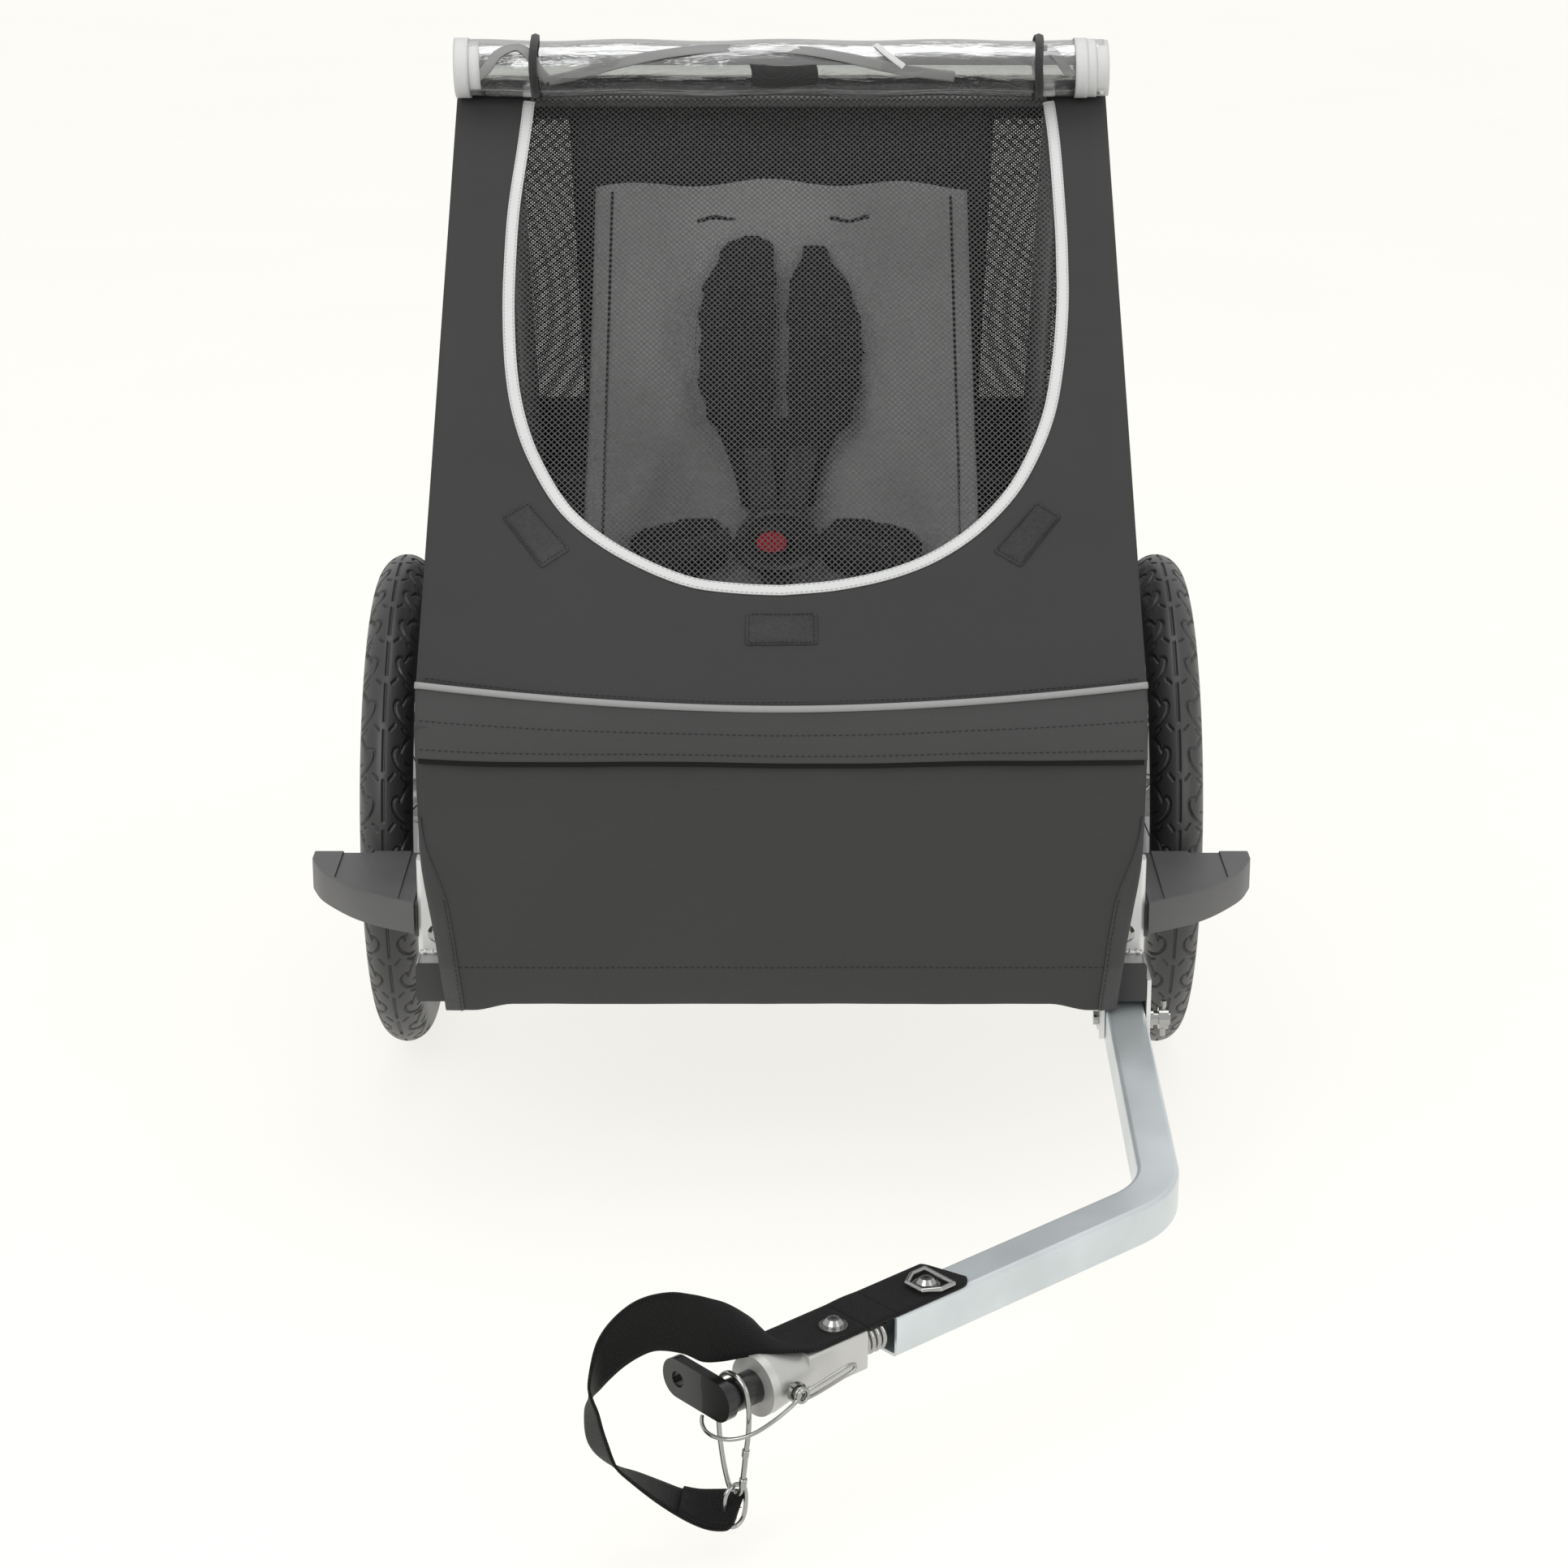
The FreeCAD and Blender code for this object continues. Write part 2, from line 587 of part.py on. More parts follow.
def rim(wheel_x):
    """Rim with its valve hole, and the valve."""
    ring = revolved([
        (12.4, RIM_FLANGE_R), (12.4, 147), (7, RIM_INNER_R), (-7, RIM_INNER_R), (-12.4, 147),
        (-12.4, RIM_FLANGE_R), (-10, RIM_FLANGE_R), (-10, 153), (-6, 149), (6, 149),
        (10, 153), (10, RIM_FLANGE_R)], wheel_x)
    ring = ring.cut(cylinder((wheel_x, 0, AXLE_Z + 138), Z_AXIS, 3.2, 14))
    stem = rod((wheel_x, 0, AXLE_Z + 122), (wheel_x, 0, AXLE_Z + 150.5), 3.0)
    valve_cap = rod((wheel_x, 0, AXLE_Z + 118), (wheel_x, 0, AXLE_Z + 126), 3.9)
    return [ring, stem.fuse(valve_cap).removeSplitter()]


def spokes(wheel_x):
    """Crossed spokes, alternately from the two hub flanges."""
    hub_r, rim_r = 23.4, RIM_INNER_R - 0.3
    wires = []
    for k in range(SPOKES):
        angle = 2 * math.pi * (k + 0.5) / SPOKES
        flange = 1 if k % 2 else -1
        lean = 1 if (k // 2) % 2 else -1
        hub_angle = angle + math.radians(22) * lean
        x = wheel_x + 1.35 * lean      # crossing spokes pass side by side
        wires.append(rod(
            (x + flange * 18.7, hub_r * math.sin(hub_angle), AXLE_Z + hub_r * math.cos(hub_angle)),
            (x + flange * 3.4, rim_r * math.sin(angle), AXLE_Z + rim_r * math.cos(angle)), 1.1))
    return wires


def hub(wheel_x):
    """Flanged hub with a bearing seat at each end."""
    seat_r = 14.2
    return revolved([
        (-27, seat_r), (-27, 16), (-21, 16), (-20, 22), (-17.4, 22), (-16.2, 15.6),
        (16.2, 15.6), (17.4, 22), (20, 22), (21, 16), (27, 16), (27, seat_r),
        (17, seat_r), (17, 9), (-17, 9), (-17, seat_r)], wheel_x)


def wheel_bearings(wheel_x):
    bore_r, outer_r = AXLE_R + 0.06, 14.15
    return [revolved([(x, bore_r), (x + BEARING_W, bore_r), (x + BEARING_W, outer_r),
                      (x, outer_r)], wheel_x)
            for x in (-26.0, 26.0 - BEARING_W)]


def wheel_axles():
    """From the frame receiver out through the hub; the outer end is bored for its button."""
    end_x = 340.0
    axle = x_cylinder(AXLE_START_X, end_x, 0, AXLE_Z, AXLE_R)
    axle = axle.fuse(x_cylinder(333.2, end_x, 0, AXLE_Z, 12.5))
    axle = axle.fuse(x_cylinder(277.0, 278.4, 0, AXLE_Z, 10.5))
    return both(axle.cut(x_cylinder(327.0, end_x + 1, 0, AXLE_Z, 4.3)).removeSplitter())


def axle_button():
    return x_cylinder(331.0, 344.0, 0, AXLE_Z, 4.24)


# ------------------------------------------------------------------ tow arm
# The arm is built level, then drooped about its pivot. Its first leg runs forwards,
# its second leg turns in towards the bicycle.
PIVOT_Y, PIVOT_Z = -288.0, 141.5
ARM_DROOP = 3.5            # degrees, nose down
ARM_X, ARM_BEND_Y = 251.5, -638.6      # where the two legs' centre lines meet
ARM_TURN = math.radians(48.7)          # between the two legs
ARM_BEND_R = 70.0
LOCK_Y = -343.0
TOW_PIN_R = 5.0            # pivot bolt and lock pin
# distances from the bend corner along the second leg
ARM_STRAP_BOLT = 214.0
ARM_TUBE_END = 252.0
COUPLER_START, COUPLER_NECK, COUPLER_END = 276.0, 306.0, 357.0
COUPLER_STRAP_BOLT = 292.0
HITCH_PIN = 342.0
HITCH_PLATE = COUPLER_END + 22

LEG_DIR = Vector(-math.sin(ARM_TURN), -math.cos(ARM_TURN), 0)
LEG_SIDE = Vector(-math.cos(ARM_TURN), math.sin(ARM_TURN), 0)    # level, across the leg


def leg_point(along, up=0.0):
    return Vector(ARM_X, ARM_BEND_Y, PIVOT_Z + up) + LEG_DIR * along


def droop(shape):
    shape = shape.copy()
    shape.rotate(Vector(0, PIVOT_Y, PIVOT_Z), X_AXIS, ARM_DROOP)
    return shape


def on_leg(shape):
    """Move from the leg's local frame, x along LEG_SIDE, y along the leg, z up, and droop."""
    frame = FreeCAD.Matrix(LEG_SIDE.x, LEG_DIR.x, 0, ARM_X,
                           LEG_SIDE.y, LEG_DIR.y, 0, ARM_BEND_Y,
                           0, 0, 1, PIVOT_Z,
                           0, 0, 0, 1)
    return droop(shape.transformShape(frame, True))


def arm_path(start_y):
    tangent = ARM_BEND_R * math.tan(ARM_TURN / 2)
    inward = (LEG_DIR + Y_AXIS).normalize()
    start = Vector(ARM_X, start_y, PIVOT_Z)
    bend_start = Vector(ARM_X, ARM_BEND_Y + tangent, PIVOT_Z)
    bend_middle = leg_point(0) + inward * (ARM_BEND_R / math.cos(ARM_TURN / 2) - ARM_BEND_R)
    return start, bend_start, bend_middle, leg_point(tangent)


def arm_sweep(start_y, leg_end, half, corner_r):
    """Rounded square bar along the arm's centre line."""
    start, bend_start, bend_middle, bend_end = arm_path(start_y)
    path = Part.Wire([Part.LineSegment(start, bend_start).toShape(),
                      Part.Arc(bend_start, bend_middle, bend_end).toShape(),
                      Part.LineSegment(bend_end, leg_point(leg_end)).toShape()])
    # the profile is the front face of a thin rounded block
    block = rounded(box(ARM_X - half, ARM_X + half, start_y - 1, start_y,
                        PIVOT_Z - half, PIVOT_Z + half), corner_r, Y_AXIS)
    profile = [f for f in block.Faces if abs(f.CenterOfMass.y - start_y) < 1e-6][0]
    pipe = Part.BRepOffsetAPI.MakePipeShell(path)
    pipe.add(profile.OuterWire)
    pipe.setBiNormalMode(Z_AXIS)
    pipe.build()
    pipe.makeSolid()
    shape = pipe.shape()
    # guards against a sweep that comes back as a shell
    return shape if shape.ShapeType == "Solid" else Part.Solid(shape)


def tow_arm_tube():
    arm = arm_sweep(PIVOT_Y, ARM_TUBE_END, HALF_TUBE, 3.2)
    hollow = arm_sweep(PIVOT_Y - 20, ARM_TUBE_END + 0.001, HALF_TUBE - TUBE_WALL, 1.4)
    arm = arm.fuse(x_cylinder(ARM_X - HALF_TUBE, ARM_X + HALF_TUBE, PIVOT_Y, PIVOT_Z, HALF_TUBE))
    arm = arm.cut(hollow)
    for y in (PIVOT_Y, LOCK_Y):
        arm = arm.cut(x_cylinder(ARM_X - 30, ARM_X + 30, y, PIVOT_Z, TOW_PIN_R + 0.06))
    arm = arm.cut(cylinder(leg_point(ARM_STRAP_BOLT, HALF_TUBE - 8), Z_AXIS, 3.3, 12))
    return droop(arm.removeSplitter())


def tow_bracket_cheeks():
    """Two plates under the left side tube; the lock pin's notches open downwards."""
    outline = [(-360, 174), (-360, 130), (-352, 125), (-272, 125), (-266, 132), (-266, 174)]
    lock = droop(Part.Vertex(Vector(ARM_X, LOCK_Y, PIVOT_Z))).Point
    notch = [(lock.y - 5.4, lock.z), (lock.y - 5.4, 110), (lock.y + 13.0, 110),
             (lock.y + 10.8, 123), (lock.y + 7.6, 131), (lock.y + 5.6, lock.z)]
    inner_x, outer_x = 233.6, 266.9
    cheeks = []
    for x in (inner_x, outer_x):
        x0, x1 = x - 1, x + 4      # cutters pass through the plate
        cheek = extrude_x(outline, x, x + 3.0)
        cheek = cheek.cut(x_cylinder(x0, x1, PIVOT_Y, PIVOT_Z, TOW_PIN_R + 0.02))
        cheek = cheek.cut(x_cylinder(x0, x1, lock.y, lock.z, TOW_PIN_R + 0.2))
        cheek = cheek.cut(extrude_x(notch, x0, x1))
        if x == inner_x:           # clears the front cross tube
            cheek = cheek.cut(box(230, 240, -361, FRONT_CROSS_Y + HALF_TUBE + 0.3,
                                  SIDE_Z - HALF_TUBE - 0.3, 180))
        cheeks.append(cheek)
    return cheeks


def tow_pivot_bolt():
    bolt = x_cylinder(229.0, 274.0, PIVOT_Y, PIVOT_Z, TOW_PIN_R)
    bolt = bolt.fuse(x_cylinder(270.0, 274.8, PIVOT_Y, PIVOT_Z, 9.0))
    return bolt.fuse(x_cylinder(226.6, 233.4, PIVOT_Y, PIVOT_Z, 8.5)).removeSplitter()


def tow_lock_pin():
    """Pin with a head, a collar and an upright crossbar through the head."""
    pin = x_cylinder(229.5, 286.0, LOCK_Y, PIVOT_Z, TOW_PIN_R)
    pin = pin.fuse(x_cylinder(277.5, 284.5, LOCK_Y, PIVOT_Z, 8.0))
    pin = pin.fuse(x_cylinder(271.2, 273.4, LOCK_Y, PIVOT_Z, 7.5))
    crossbar = cylinder((281, LOCK_Y, PIVOT_Z - 14), Z_AXIS, 2.0, 28)
    return droop(pin.fuse(crossbar).removeSplitter())


def flex_spring():
    """Coil spring between the arm tube and the coupler."""
    coil_r, gap = 9.5, 2.0
    helix = Part.makeHelix(4.6, COUPLER_START - ARM_TUBE_END - 2 * gap, coil_r)
    section = Part.Wire(Part.Circle(Vector(coil_r, 0, 0), Y_AXIS, 1.9).toShape())
    spring = Part.Wire(helix).makePipeShell([section], True, True)
    spring.Placement = FreeCAD.Placement(leg_point(ARM_TUBE_END + gap),
                                         FreeCAD.Rotation(Z_AXIS, LEG_DIR))
    return droop(spring)


# ------------------------------------------------------------------ coupler and hitch
def coupler_block():
    """Square block that turns into a round flanged socket."""
    block = rounded(box(-14, 14, COUPLER_START, COUPLER_NECK + 18, -14, 14), 3.0, Y_AXIS)
    socket_r, cone_y, lip_y = 19.5, COUPLER_NECK + 4, COUPLER_END - 6
    cone = Part.makeCone(13.2, socket_r, lip_y - cone_y, Vector(0, cone_y, 0), Y_AXIS)
    coupler = block.fuse(cone).fuse(cylinder((0, lip_y, 0), Y_AXIS, socket_r, 6.0))
    coupler = coupler.cut(cylinder((0, COUPLER_END - 44, 0), Y_AXIS, 10.6, 60))
    coupler = coupler.cut(cylinder((-40, HITCH_PIN, 0), X_AXIS, PIN_R + 0.06, 80))
    coupler = coupler.cut(cylinder((0, COUPLER_STRAP_BOLT, -20), Z_AXIS, 3.4, 40))
    return on_leg(coupler.removeSplitter())


def hitch_plate():
    """Plate with an axle hole, and the stud that enters the coupler."""
    stud_start = COUPLER_END - 40
    stud = cylinder((0, stud_start, 0), Y_AXIS, 10.5, HITCH_PLATE - stud_start)
    plate = rounded(box(-50, 12, HITCH_PLATE, HITCH_PLATE + 7, -13, 13), 12.5, Y_AXIS)
    hitch = stud.fuse(plate)
    hitch = hitch.cut(cylinder((-36, HITCH_PLATE - 5, 0), Y_AXIS, 5.25, 20))
    hitch = hitch.cut(cylinder((-30, HITCH_PIN, 0), X_AXIS, PIN_R + 0.06, 60))
    return on_leg(mirror(hitch.removeSplitter()))


def hitch_pin():
    """Pin across the socket, headed at local -x and cross-drilled near its other end."""
    pin = cylinder((-25, HITCH_PIN, 0), X_AXIS, PIN_R, 48)
    pin = pin.fuse(cylinder((-24.5, HITCH_PIN, 0), X_AXIS, 6.5, 3.0))
    return on_leg(pin.cut(cylinder((20.3, HITCH_PIN, -10), Z_AXIS, 1.25, 20)).removeSplitter())


def bail_wire():
    """Wire from the pin head round under the stud, with a tail and a small disc at the head."""
    # local x, distance in front of the hitch pin, z
    bow = [(-26.6, -1, 0), (-26.6, 24, -12), (-20, 45, -22), (-6, 53, -24.5),
           (8, 53, -24.5), (19, 47, -22), (22, 45.5, -18)]
    tail = [(-26.6, 0, 0), (-26.6, -40, 5), (-26.6, -44, 1), (-26.6, -36, -1)]
    bow, tail = [bent_rod([(x, HITCH_PIN + ahead, z) for x, ahead, z in points], 1.25)
                 for points in (bow, tail)]
    wire = bow.fuse(tail).fuse(cylinder((-26.8, HITCH_PIN, 0), X_AXIS, 3.4, 1.5))
    return on_leg(wire.removeSplitter())


# ------------------------------------------------------------------ safety strap
STRAP_HALF_W = 12.5
STRAP_LOW, STRAP_HIGH = HALF_TUBE + 0.3, HALF_TUBE + 2.1
# centre line of the free loop: x, y, z in the trailer frame
STRAP_LOOP = [
    (-15.5, -872.0, 130.5), (-34.0, -880.0, 146.0), (-62.0, -885.0, 157.0),
    (-90.0, -886.0, 149.0), (-112.0, -887.0, 120.0), (-116.5, -887.5, 88.0),
    (-106.0, -890.5, 64.0), (-84.0, -894.0, 46.0), (-60.0, -894.0, 33.0), (-38.0, -893.0, 25.0),
]


def strap_piece(start, end):
    return box(-STRAP_HALF_W, STRAP_HALF_W, start, end, STRAP_LOW, STRAP_HIGH)


def strap_on_arm():
    strap = rounded(strap_piece(196, ARM_TUBE_END - 0.5), 5.0, Z_AXIS,
                    lambda point: point.y < 200)
    hole = cylinder((0, ARM_STRAP_BOLT, HALF_TUBE - 3), Z_AXIS, 3.3, 10)
    return on_leg(strap.cut(hole))


def strap_bridge():
    """Strap over the spring."""
    return on_leg(strap_piece(ARM_TUBE_END, COUPLER_START))


def bolt_and_washer(along, bore_r, shank_len):
    bolt = button_bolt((0, along, HALF_TUBE + 3.7), Z_AXIS, 6.4, 4.4, shank_len)
    washer = cylinder((0, along, HALF_TUBE + 2.2), Z_AXIS, 9.0, 1.4)
    washer = washer.cut(cylinder((0, along, HALF_TUBE + 1), Z_AXIS, bore_r, 4))
    return [on_leg(bolt), on_leg(washer)]


def strap_hardware_coupler():
    """Bolt through the coupler, its washer, and the nut below."""
    nut = cylinder((0, COUPLER_STRAP_BOLT, -19.2), Z_AXIS, 5.8, 5)
    nut = nut.cut(cylinder((0, COUPLER_STRAP_BOLT, -20), Z_AXIS, 3.25, 8))
    return bolt_and_washer(COUPLER_STRAP_BOLT, 3.5, 36) + [on_leg(nut)]


def strap_hardware_arm():
    """Bolt, washer, and a D-shaped wire ring round the bolt."""
    z, wire_r = HALF_TUBE + 5.2, 1.6
    corners = [(-13, 203), (13, 203), (13, 214), (7, 224), (-7, 224), (-13, 214), (-13, 203)]
    points = [(x, y, z) for x, y in corners]
    ring = bent_rod(points, wire_r)
    ring = ring.fuse(Part.makeSphere(wire_r, Vector(*points[0]))).removeSplitter()
    return bolt_and_washer(ARM_STRAP_BOLT, 3.4, 8.4) + [on_leg(ring)]


def strap_loop():
    """Flat strap segments, 2 mm thick, with round joints between them."""
    across = Vector(0, STRAP_HALF_W, 0)
    pieces = []
    for start, end in zip(STRAP_LOOP, STRAP_LOOP[1:]):
        first, second = Vector(*start), Vector(*end)
        span = second - first
        normal = Vector(-span.z, 0, span.x).normalize() * 1.0
        corners = [first + normal, second + normal, second - normal, first - normal]
        pieces.append(polygon_face([corner - across for corner in corners]).extrude(across * 2))
        if end != STRAP_LOOP[-1]:
            pieces.append(cylinder(second - across, Y_AXIS, 1.0, 2 * STRAP_HALF_W))
    return fused(pieces).removeSplitter()


def safety_strap():
    """The part on the coupler, rising over its socket, and the free loop."""
    rise = 318
    flat = strap_piece(COUPLER_START + 0.5, rise)
    flat = flat.cut(cylinder((0, COUPLER_STRAP_BOLT, HALF_TUBE - 3), Z_AXIS, 3.45, 10))
    ramp = extrude_x([(rise, STRAP_LOW), (rise, STRAP_HIGH), (352, 23.6), (352, 21.8)],
                     -STRAP_HALF_W, STRAP_HALF_W)
    return [on_leg(flat.fuse(ramp).removeSplitter()), strap_loop()]


# ------------------------------------------------------------------ snap hook on the stud
HOOK_Y = COUPLER_END + 11.0            # plane of the hook, along the leg
# local x, z
HOOK = [(-11.0, -34), (-13.5, -20), (-14.2, -4), (-11, 8.5), (0, 13.6), (11, 8.5), (14.2, -4),
        (13.5, -24), (9, -52), (3, -68), (-4, -68), (-8.2, -57)]
GATE = [(-8.9, -52.6), (-10.8, -38.6)]
# distance along the leg from the hook's plane, z
HOOK_RING = [(-7, -64), (-9, -84), (0, -91), (9, -84), (7, -64), (0, -61)]


def snap_hook_gate():
    return on_leg(bent_rod([(x, HOOK_Y, z) for x, z in GATE], 1.7))


def snap_hook():
    """Hook over the stud, and the ring through its lower end."""
    hook = bent_rod([(x, HOOK_Y, z) for x, z in HOOK], 1.6)
    ring = bent_rod([(-1, HOOK_Y + along, z) for along, z in HOOK_RING], 1.5, closed=True)
    return [on_leg(hook), on_leg(ring)]


# ------------------------------------------------------------------ write the pieces
# each piece is written under its function's name
for piece in (
        base_frame, tube_end_caps, front_brackets, bracket_bolts, front_uprights, elbow_pins,
        rear_uprights, canopy_rails, top_crossbar, rear_struts, front_cover, window_mesh,
        closure_patches, rain_cover_roll, front_lower_panel, side_panels_lower, rear_wall,
        tub_floor, side_windows, rear_upper_panel, seat_support_hoops, seat_pan, seat_back,
        shoulder_straps, buckle_body, buckle_button, waist_pads, crotch_strap, wheel_guards,
        wheel_axles, tow_arm_tube, tow_bracket_cheeks, tow_pivot_bolt, tow_lock_pin,
        flex_spring, coupler_block, hitch_plate, hitch_pin, bail_wire, strap_on_arm,
        strap_bridge, strap_hardware_coupler, strap_hardware_arm, safety_strap,
        snap_hook_gate, snap_hook):
    export(piece.__name__, piece())

for piece in (latch_plunger, axle_button):
    for side_name, shape in zip(("left", "right"), both(piece())):
        export(piece.__name__ + "_" + side_name, shape)

for side_name, wheel_x in (("left", WHEEL_X), ("right", -WHEEL_X)):
    for piece in (tyre, rim, spokes, hub, wheel_bearings):
        export(piece.__name__ + "_" + side_name, piece(wheel_x))
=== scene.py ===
"""Two-wheeled trailer with a cloth cabin, a padded seat with a harness, and a tow arm.

The front and the tow arm point to -Y, the left side is +X, and the wheels stand on z = 0.
The rigid pieces come from the CAD frame. Everything added here is drawn in millimetres
with y = 0 at the axle; add_mesh scales it and moves it into the frame.
"""
import json
from math import acos, atan2, cos, exp, hypot, pi, radians, sin, sqrt, tan

import bmesh
import bpy
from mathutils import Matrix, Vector, noise


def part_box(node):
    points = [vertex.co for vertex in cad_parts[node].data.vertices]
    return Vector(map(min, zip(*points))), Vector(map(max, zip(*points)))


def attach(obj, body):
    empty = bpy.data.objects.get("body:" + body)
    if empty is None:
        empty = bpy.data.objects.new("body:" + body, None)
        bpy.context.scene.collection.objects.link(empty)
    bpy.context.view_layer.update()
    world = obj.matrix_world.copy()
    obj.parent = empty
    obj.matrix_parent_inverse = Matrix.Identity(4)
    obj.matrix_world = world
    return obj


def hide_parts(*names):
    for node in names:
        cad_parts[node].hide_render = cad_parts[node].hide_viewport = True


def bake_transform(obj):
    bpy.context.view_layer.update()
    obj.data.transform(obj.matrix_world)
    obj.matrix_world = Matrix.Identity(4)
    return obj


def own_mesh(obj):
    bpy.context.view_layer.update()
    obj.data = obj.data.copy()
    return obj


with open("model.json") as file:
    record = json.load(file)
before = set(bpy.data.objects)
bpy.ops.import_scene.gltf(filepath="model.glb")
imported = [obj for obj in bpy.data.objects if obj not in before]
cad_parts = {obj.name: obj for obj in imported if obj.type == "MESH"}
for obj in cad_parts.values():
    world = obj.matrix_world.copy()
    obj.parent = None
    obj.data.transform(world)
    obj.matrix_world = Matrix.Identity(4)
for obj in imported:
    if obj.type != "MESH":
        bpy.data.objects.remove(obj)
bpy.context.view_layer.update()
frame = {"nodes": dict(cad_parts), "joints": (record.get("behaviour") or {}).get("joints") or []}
scene = bpy.context.scene

MM = 0.001
SIDES = ((1, "left"), (-1, "right"))
AXLE_Y = next(joint["pos_m"][1] for joint in frame["joints"]
              if joint["name"] == "wheel_left_spin") / MM


# ------------------------------------------------------------------ lines of the cabin
def vec(x, y, z):
    return Vector((x, y, z))


def box_centre(piece):
    """Middle of a CAD piece, in millimetres from the axle."""
    low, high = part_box(piece)
    return ((low.x + high.x) / 2 / MM, (low.y + high.y) / 2 / MM - AXLE_Y,
            (low.z + high.z) / 2 / MM)


HALF_WIDTH = 257.0
_, TOP_Y, TOP_Z = box_centre("top_crossbar")
_, ROLL_Y, ROLL_Z = box_centre("rain_cover_roll")

# The front cover slopes up from the belt to the crossbar.
COVER_LENGTH = 612
COVER_LIFT = 14
SLOPE = atan2(375.0, 487.0)
SLOPE_SIN, SLOPE_COS = sin(SLOPE), cos(SLOPE)
COVER_NORMAL = vec(0, -SLOPE_SIN, SLOPE_COS)
BELT_Y = TOP_Y - COVER_LENGTH * SLOPE_COS - COVER_LIFT * SLOPE_SIN
BELT_Z = TOP_Z - COVER_LENGTH * SLOPE_SIN + COVER_LIFT * SLOPE_COS

# The upper rear panel runs from the crossbar down to its foot.
FOOT_Y, FOOT_Z = 338.0, 386.3
REAR_LENGTH = hypot(FOOT_Y - TOP_Y, FOOT_Z - TOP_Z)
REAR_RUN_Y, REAR_RUN_Z = (FOOT_Y - TOP_Y) / REAR_LENGTH, (FOOT_Z - TOP_Z) / REAR_LENGTH
REAR_NORMAL = vec(0, -REAR_RUN_Z, REAR_RUN_Y)
REAR_LIFT = 15.5


def fold(item):
    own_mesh(item)


def on_cover(x, up, lift=0.0):
    """Point of the front cover: up is the distance from the belt, lift is off the surface."""
    return vec(x, BELT_Y + up * SLOPE_COS - lift * SLOPE_SIN,
               BELT_Z + up * SLOPE_SIN + lift * SLOPE_COS)


def on_rear(x, down, lift=0.0):
    """Point of the upper rear panel, down being the distance from the crossbar."""
    return vec(x, TOP_Y + REAR_RUN_Y * down - REAR_RUN_Z * lift,
               TOP_Z + REAR_RUN_Z * down + REAR_RUN_Y * lift)


def on_roll(x, angle, radius):
    """Point at an angle round the rolled-up rain cover."""
    return vec(x, ROLL_Y + radius * cos(angle), ROLL_Z + radius * sin(angle))


def uneven(x, y, seed, scale):
    """Smooth unevenness between about -1 and 1."""
    return noise.noise(vec(x * scale, y * scale, seed))


# ------------------------------------------------------------------ shader tools
class Shader:
    """A new material, with short ways to add nodes to it."""

    def __init__(self, name):
        self.material = bpy.data.materials.new(name)
        self.material.use_nodes = True
        self.tree = self.material.node_tree
        self.bsdf = self.tree.nodes["Principled BSDF"]

    def feed(self, node, inputs):
        """Link each input to the given socket, or set it to the given value."""
        for key, value in inputs.items():
            if isinstance(value, bpy.types.NodeSocket):
                self.tree.links.new(value, node.inputs[key])
            else:
                node.inputs[key].default_value = value
        return node

    def node(self, kind, inputs, **settings):
        node = self.tree.nodes.new("ShaderNode" + kind)
        for key, value in settings.items():
            setattr(node, key, value)
        return self.feed(node, inputs)

    def place(self, scale=(1.0, 1.0, 1.0)):
        source = self.node("TexCoord", {}).outputs["Object"]
        return self.node("Mapping", {"Scale": scale, "Vector": source}).outputs["Vector"]

    def noise(self, place, scale, detail, roughness=0.5):
        return self.node("TexNoise", {"Scale": scale, "Detail": detail,
                                      "Roughness": roughness, "Vector": place}).outputs["Fac"]

    def wave(self, place, scale, direction, distortion):
        return self.node("TexWave", {"Scale": scale, "Distortion": distortion, "Vector": place},
                         bands_direction=direction).outputs["Fac"]

    def math(self, operation, *values, **settings):
        inputs = dict(enumerate(values))
        return self.node("Math", inputs, operation=operation, **settings).outputs[0]

    def weigh(self, first, first_weight, second, second_weight):
        """Weighted sum of two sockets."""
        return self.math("ADD", self.math("MULTIPLY", first, first_weight),
                         self.math("MULTIPLY", second, second_weight))

    def scale_add(self, socket, factor, offset):
        return self.math("ADD", self.math("MULTIPLY", socket, factor), offset)

    def ramp(self, factor, low, high, start=0.3, end=0.7):
        """Colour that runs from low to high between two values of the factor."""
        node = self.node("ValToRGB", {"Fac": factor})
        for stop, position, value in zip(node.color_ramp.elements, (start, end), (low, high)):
            stop.position = position
            stop.color = value
        return node.outputs["Color"]

    def bump(self, height, strength, distance):
        return self.node("Bump", {"Strength": strength, "Distance": distance,
                                  "Height": height}).outputs["Normal"]

    def surface(self, inputs):
        """Feed the principled shader and return the finished material."""
        self.feed(self.bsdf, inputs)
        return self.material

    def mix_to_output(self, factor, first, second):
        mix = self.node("MixShader", {"Fac": factor, 1: first.outputs[0], 2: second.outputs[0]})
        self.feed(self.tree.nodes["Material Output"], {"Surface": mix.outputs[0]})
        return self.material


def color(red, green=None, blue=None):
    """Linear colour from 8-bit sRGB values; one value alone gives a grey."""
    channels = (red, red if green is None else green, red if blue is None else blue)
    linear = []
    for value in channels:
        value /= 255.0
        linear.append(value / 12.92 if value <= 0.04045 else ((value + 0.055) / 1.055) ** 2.4)
    return (*linear, 1)


def shade(base, factor):
    return tuple(min(1, channel * factor) for channel in base[:3]) + (1,)


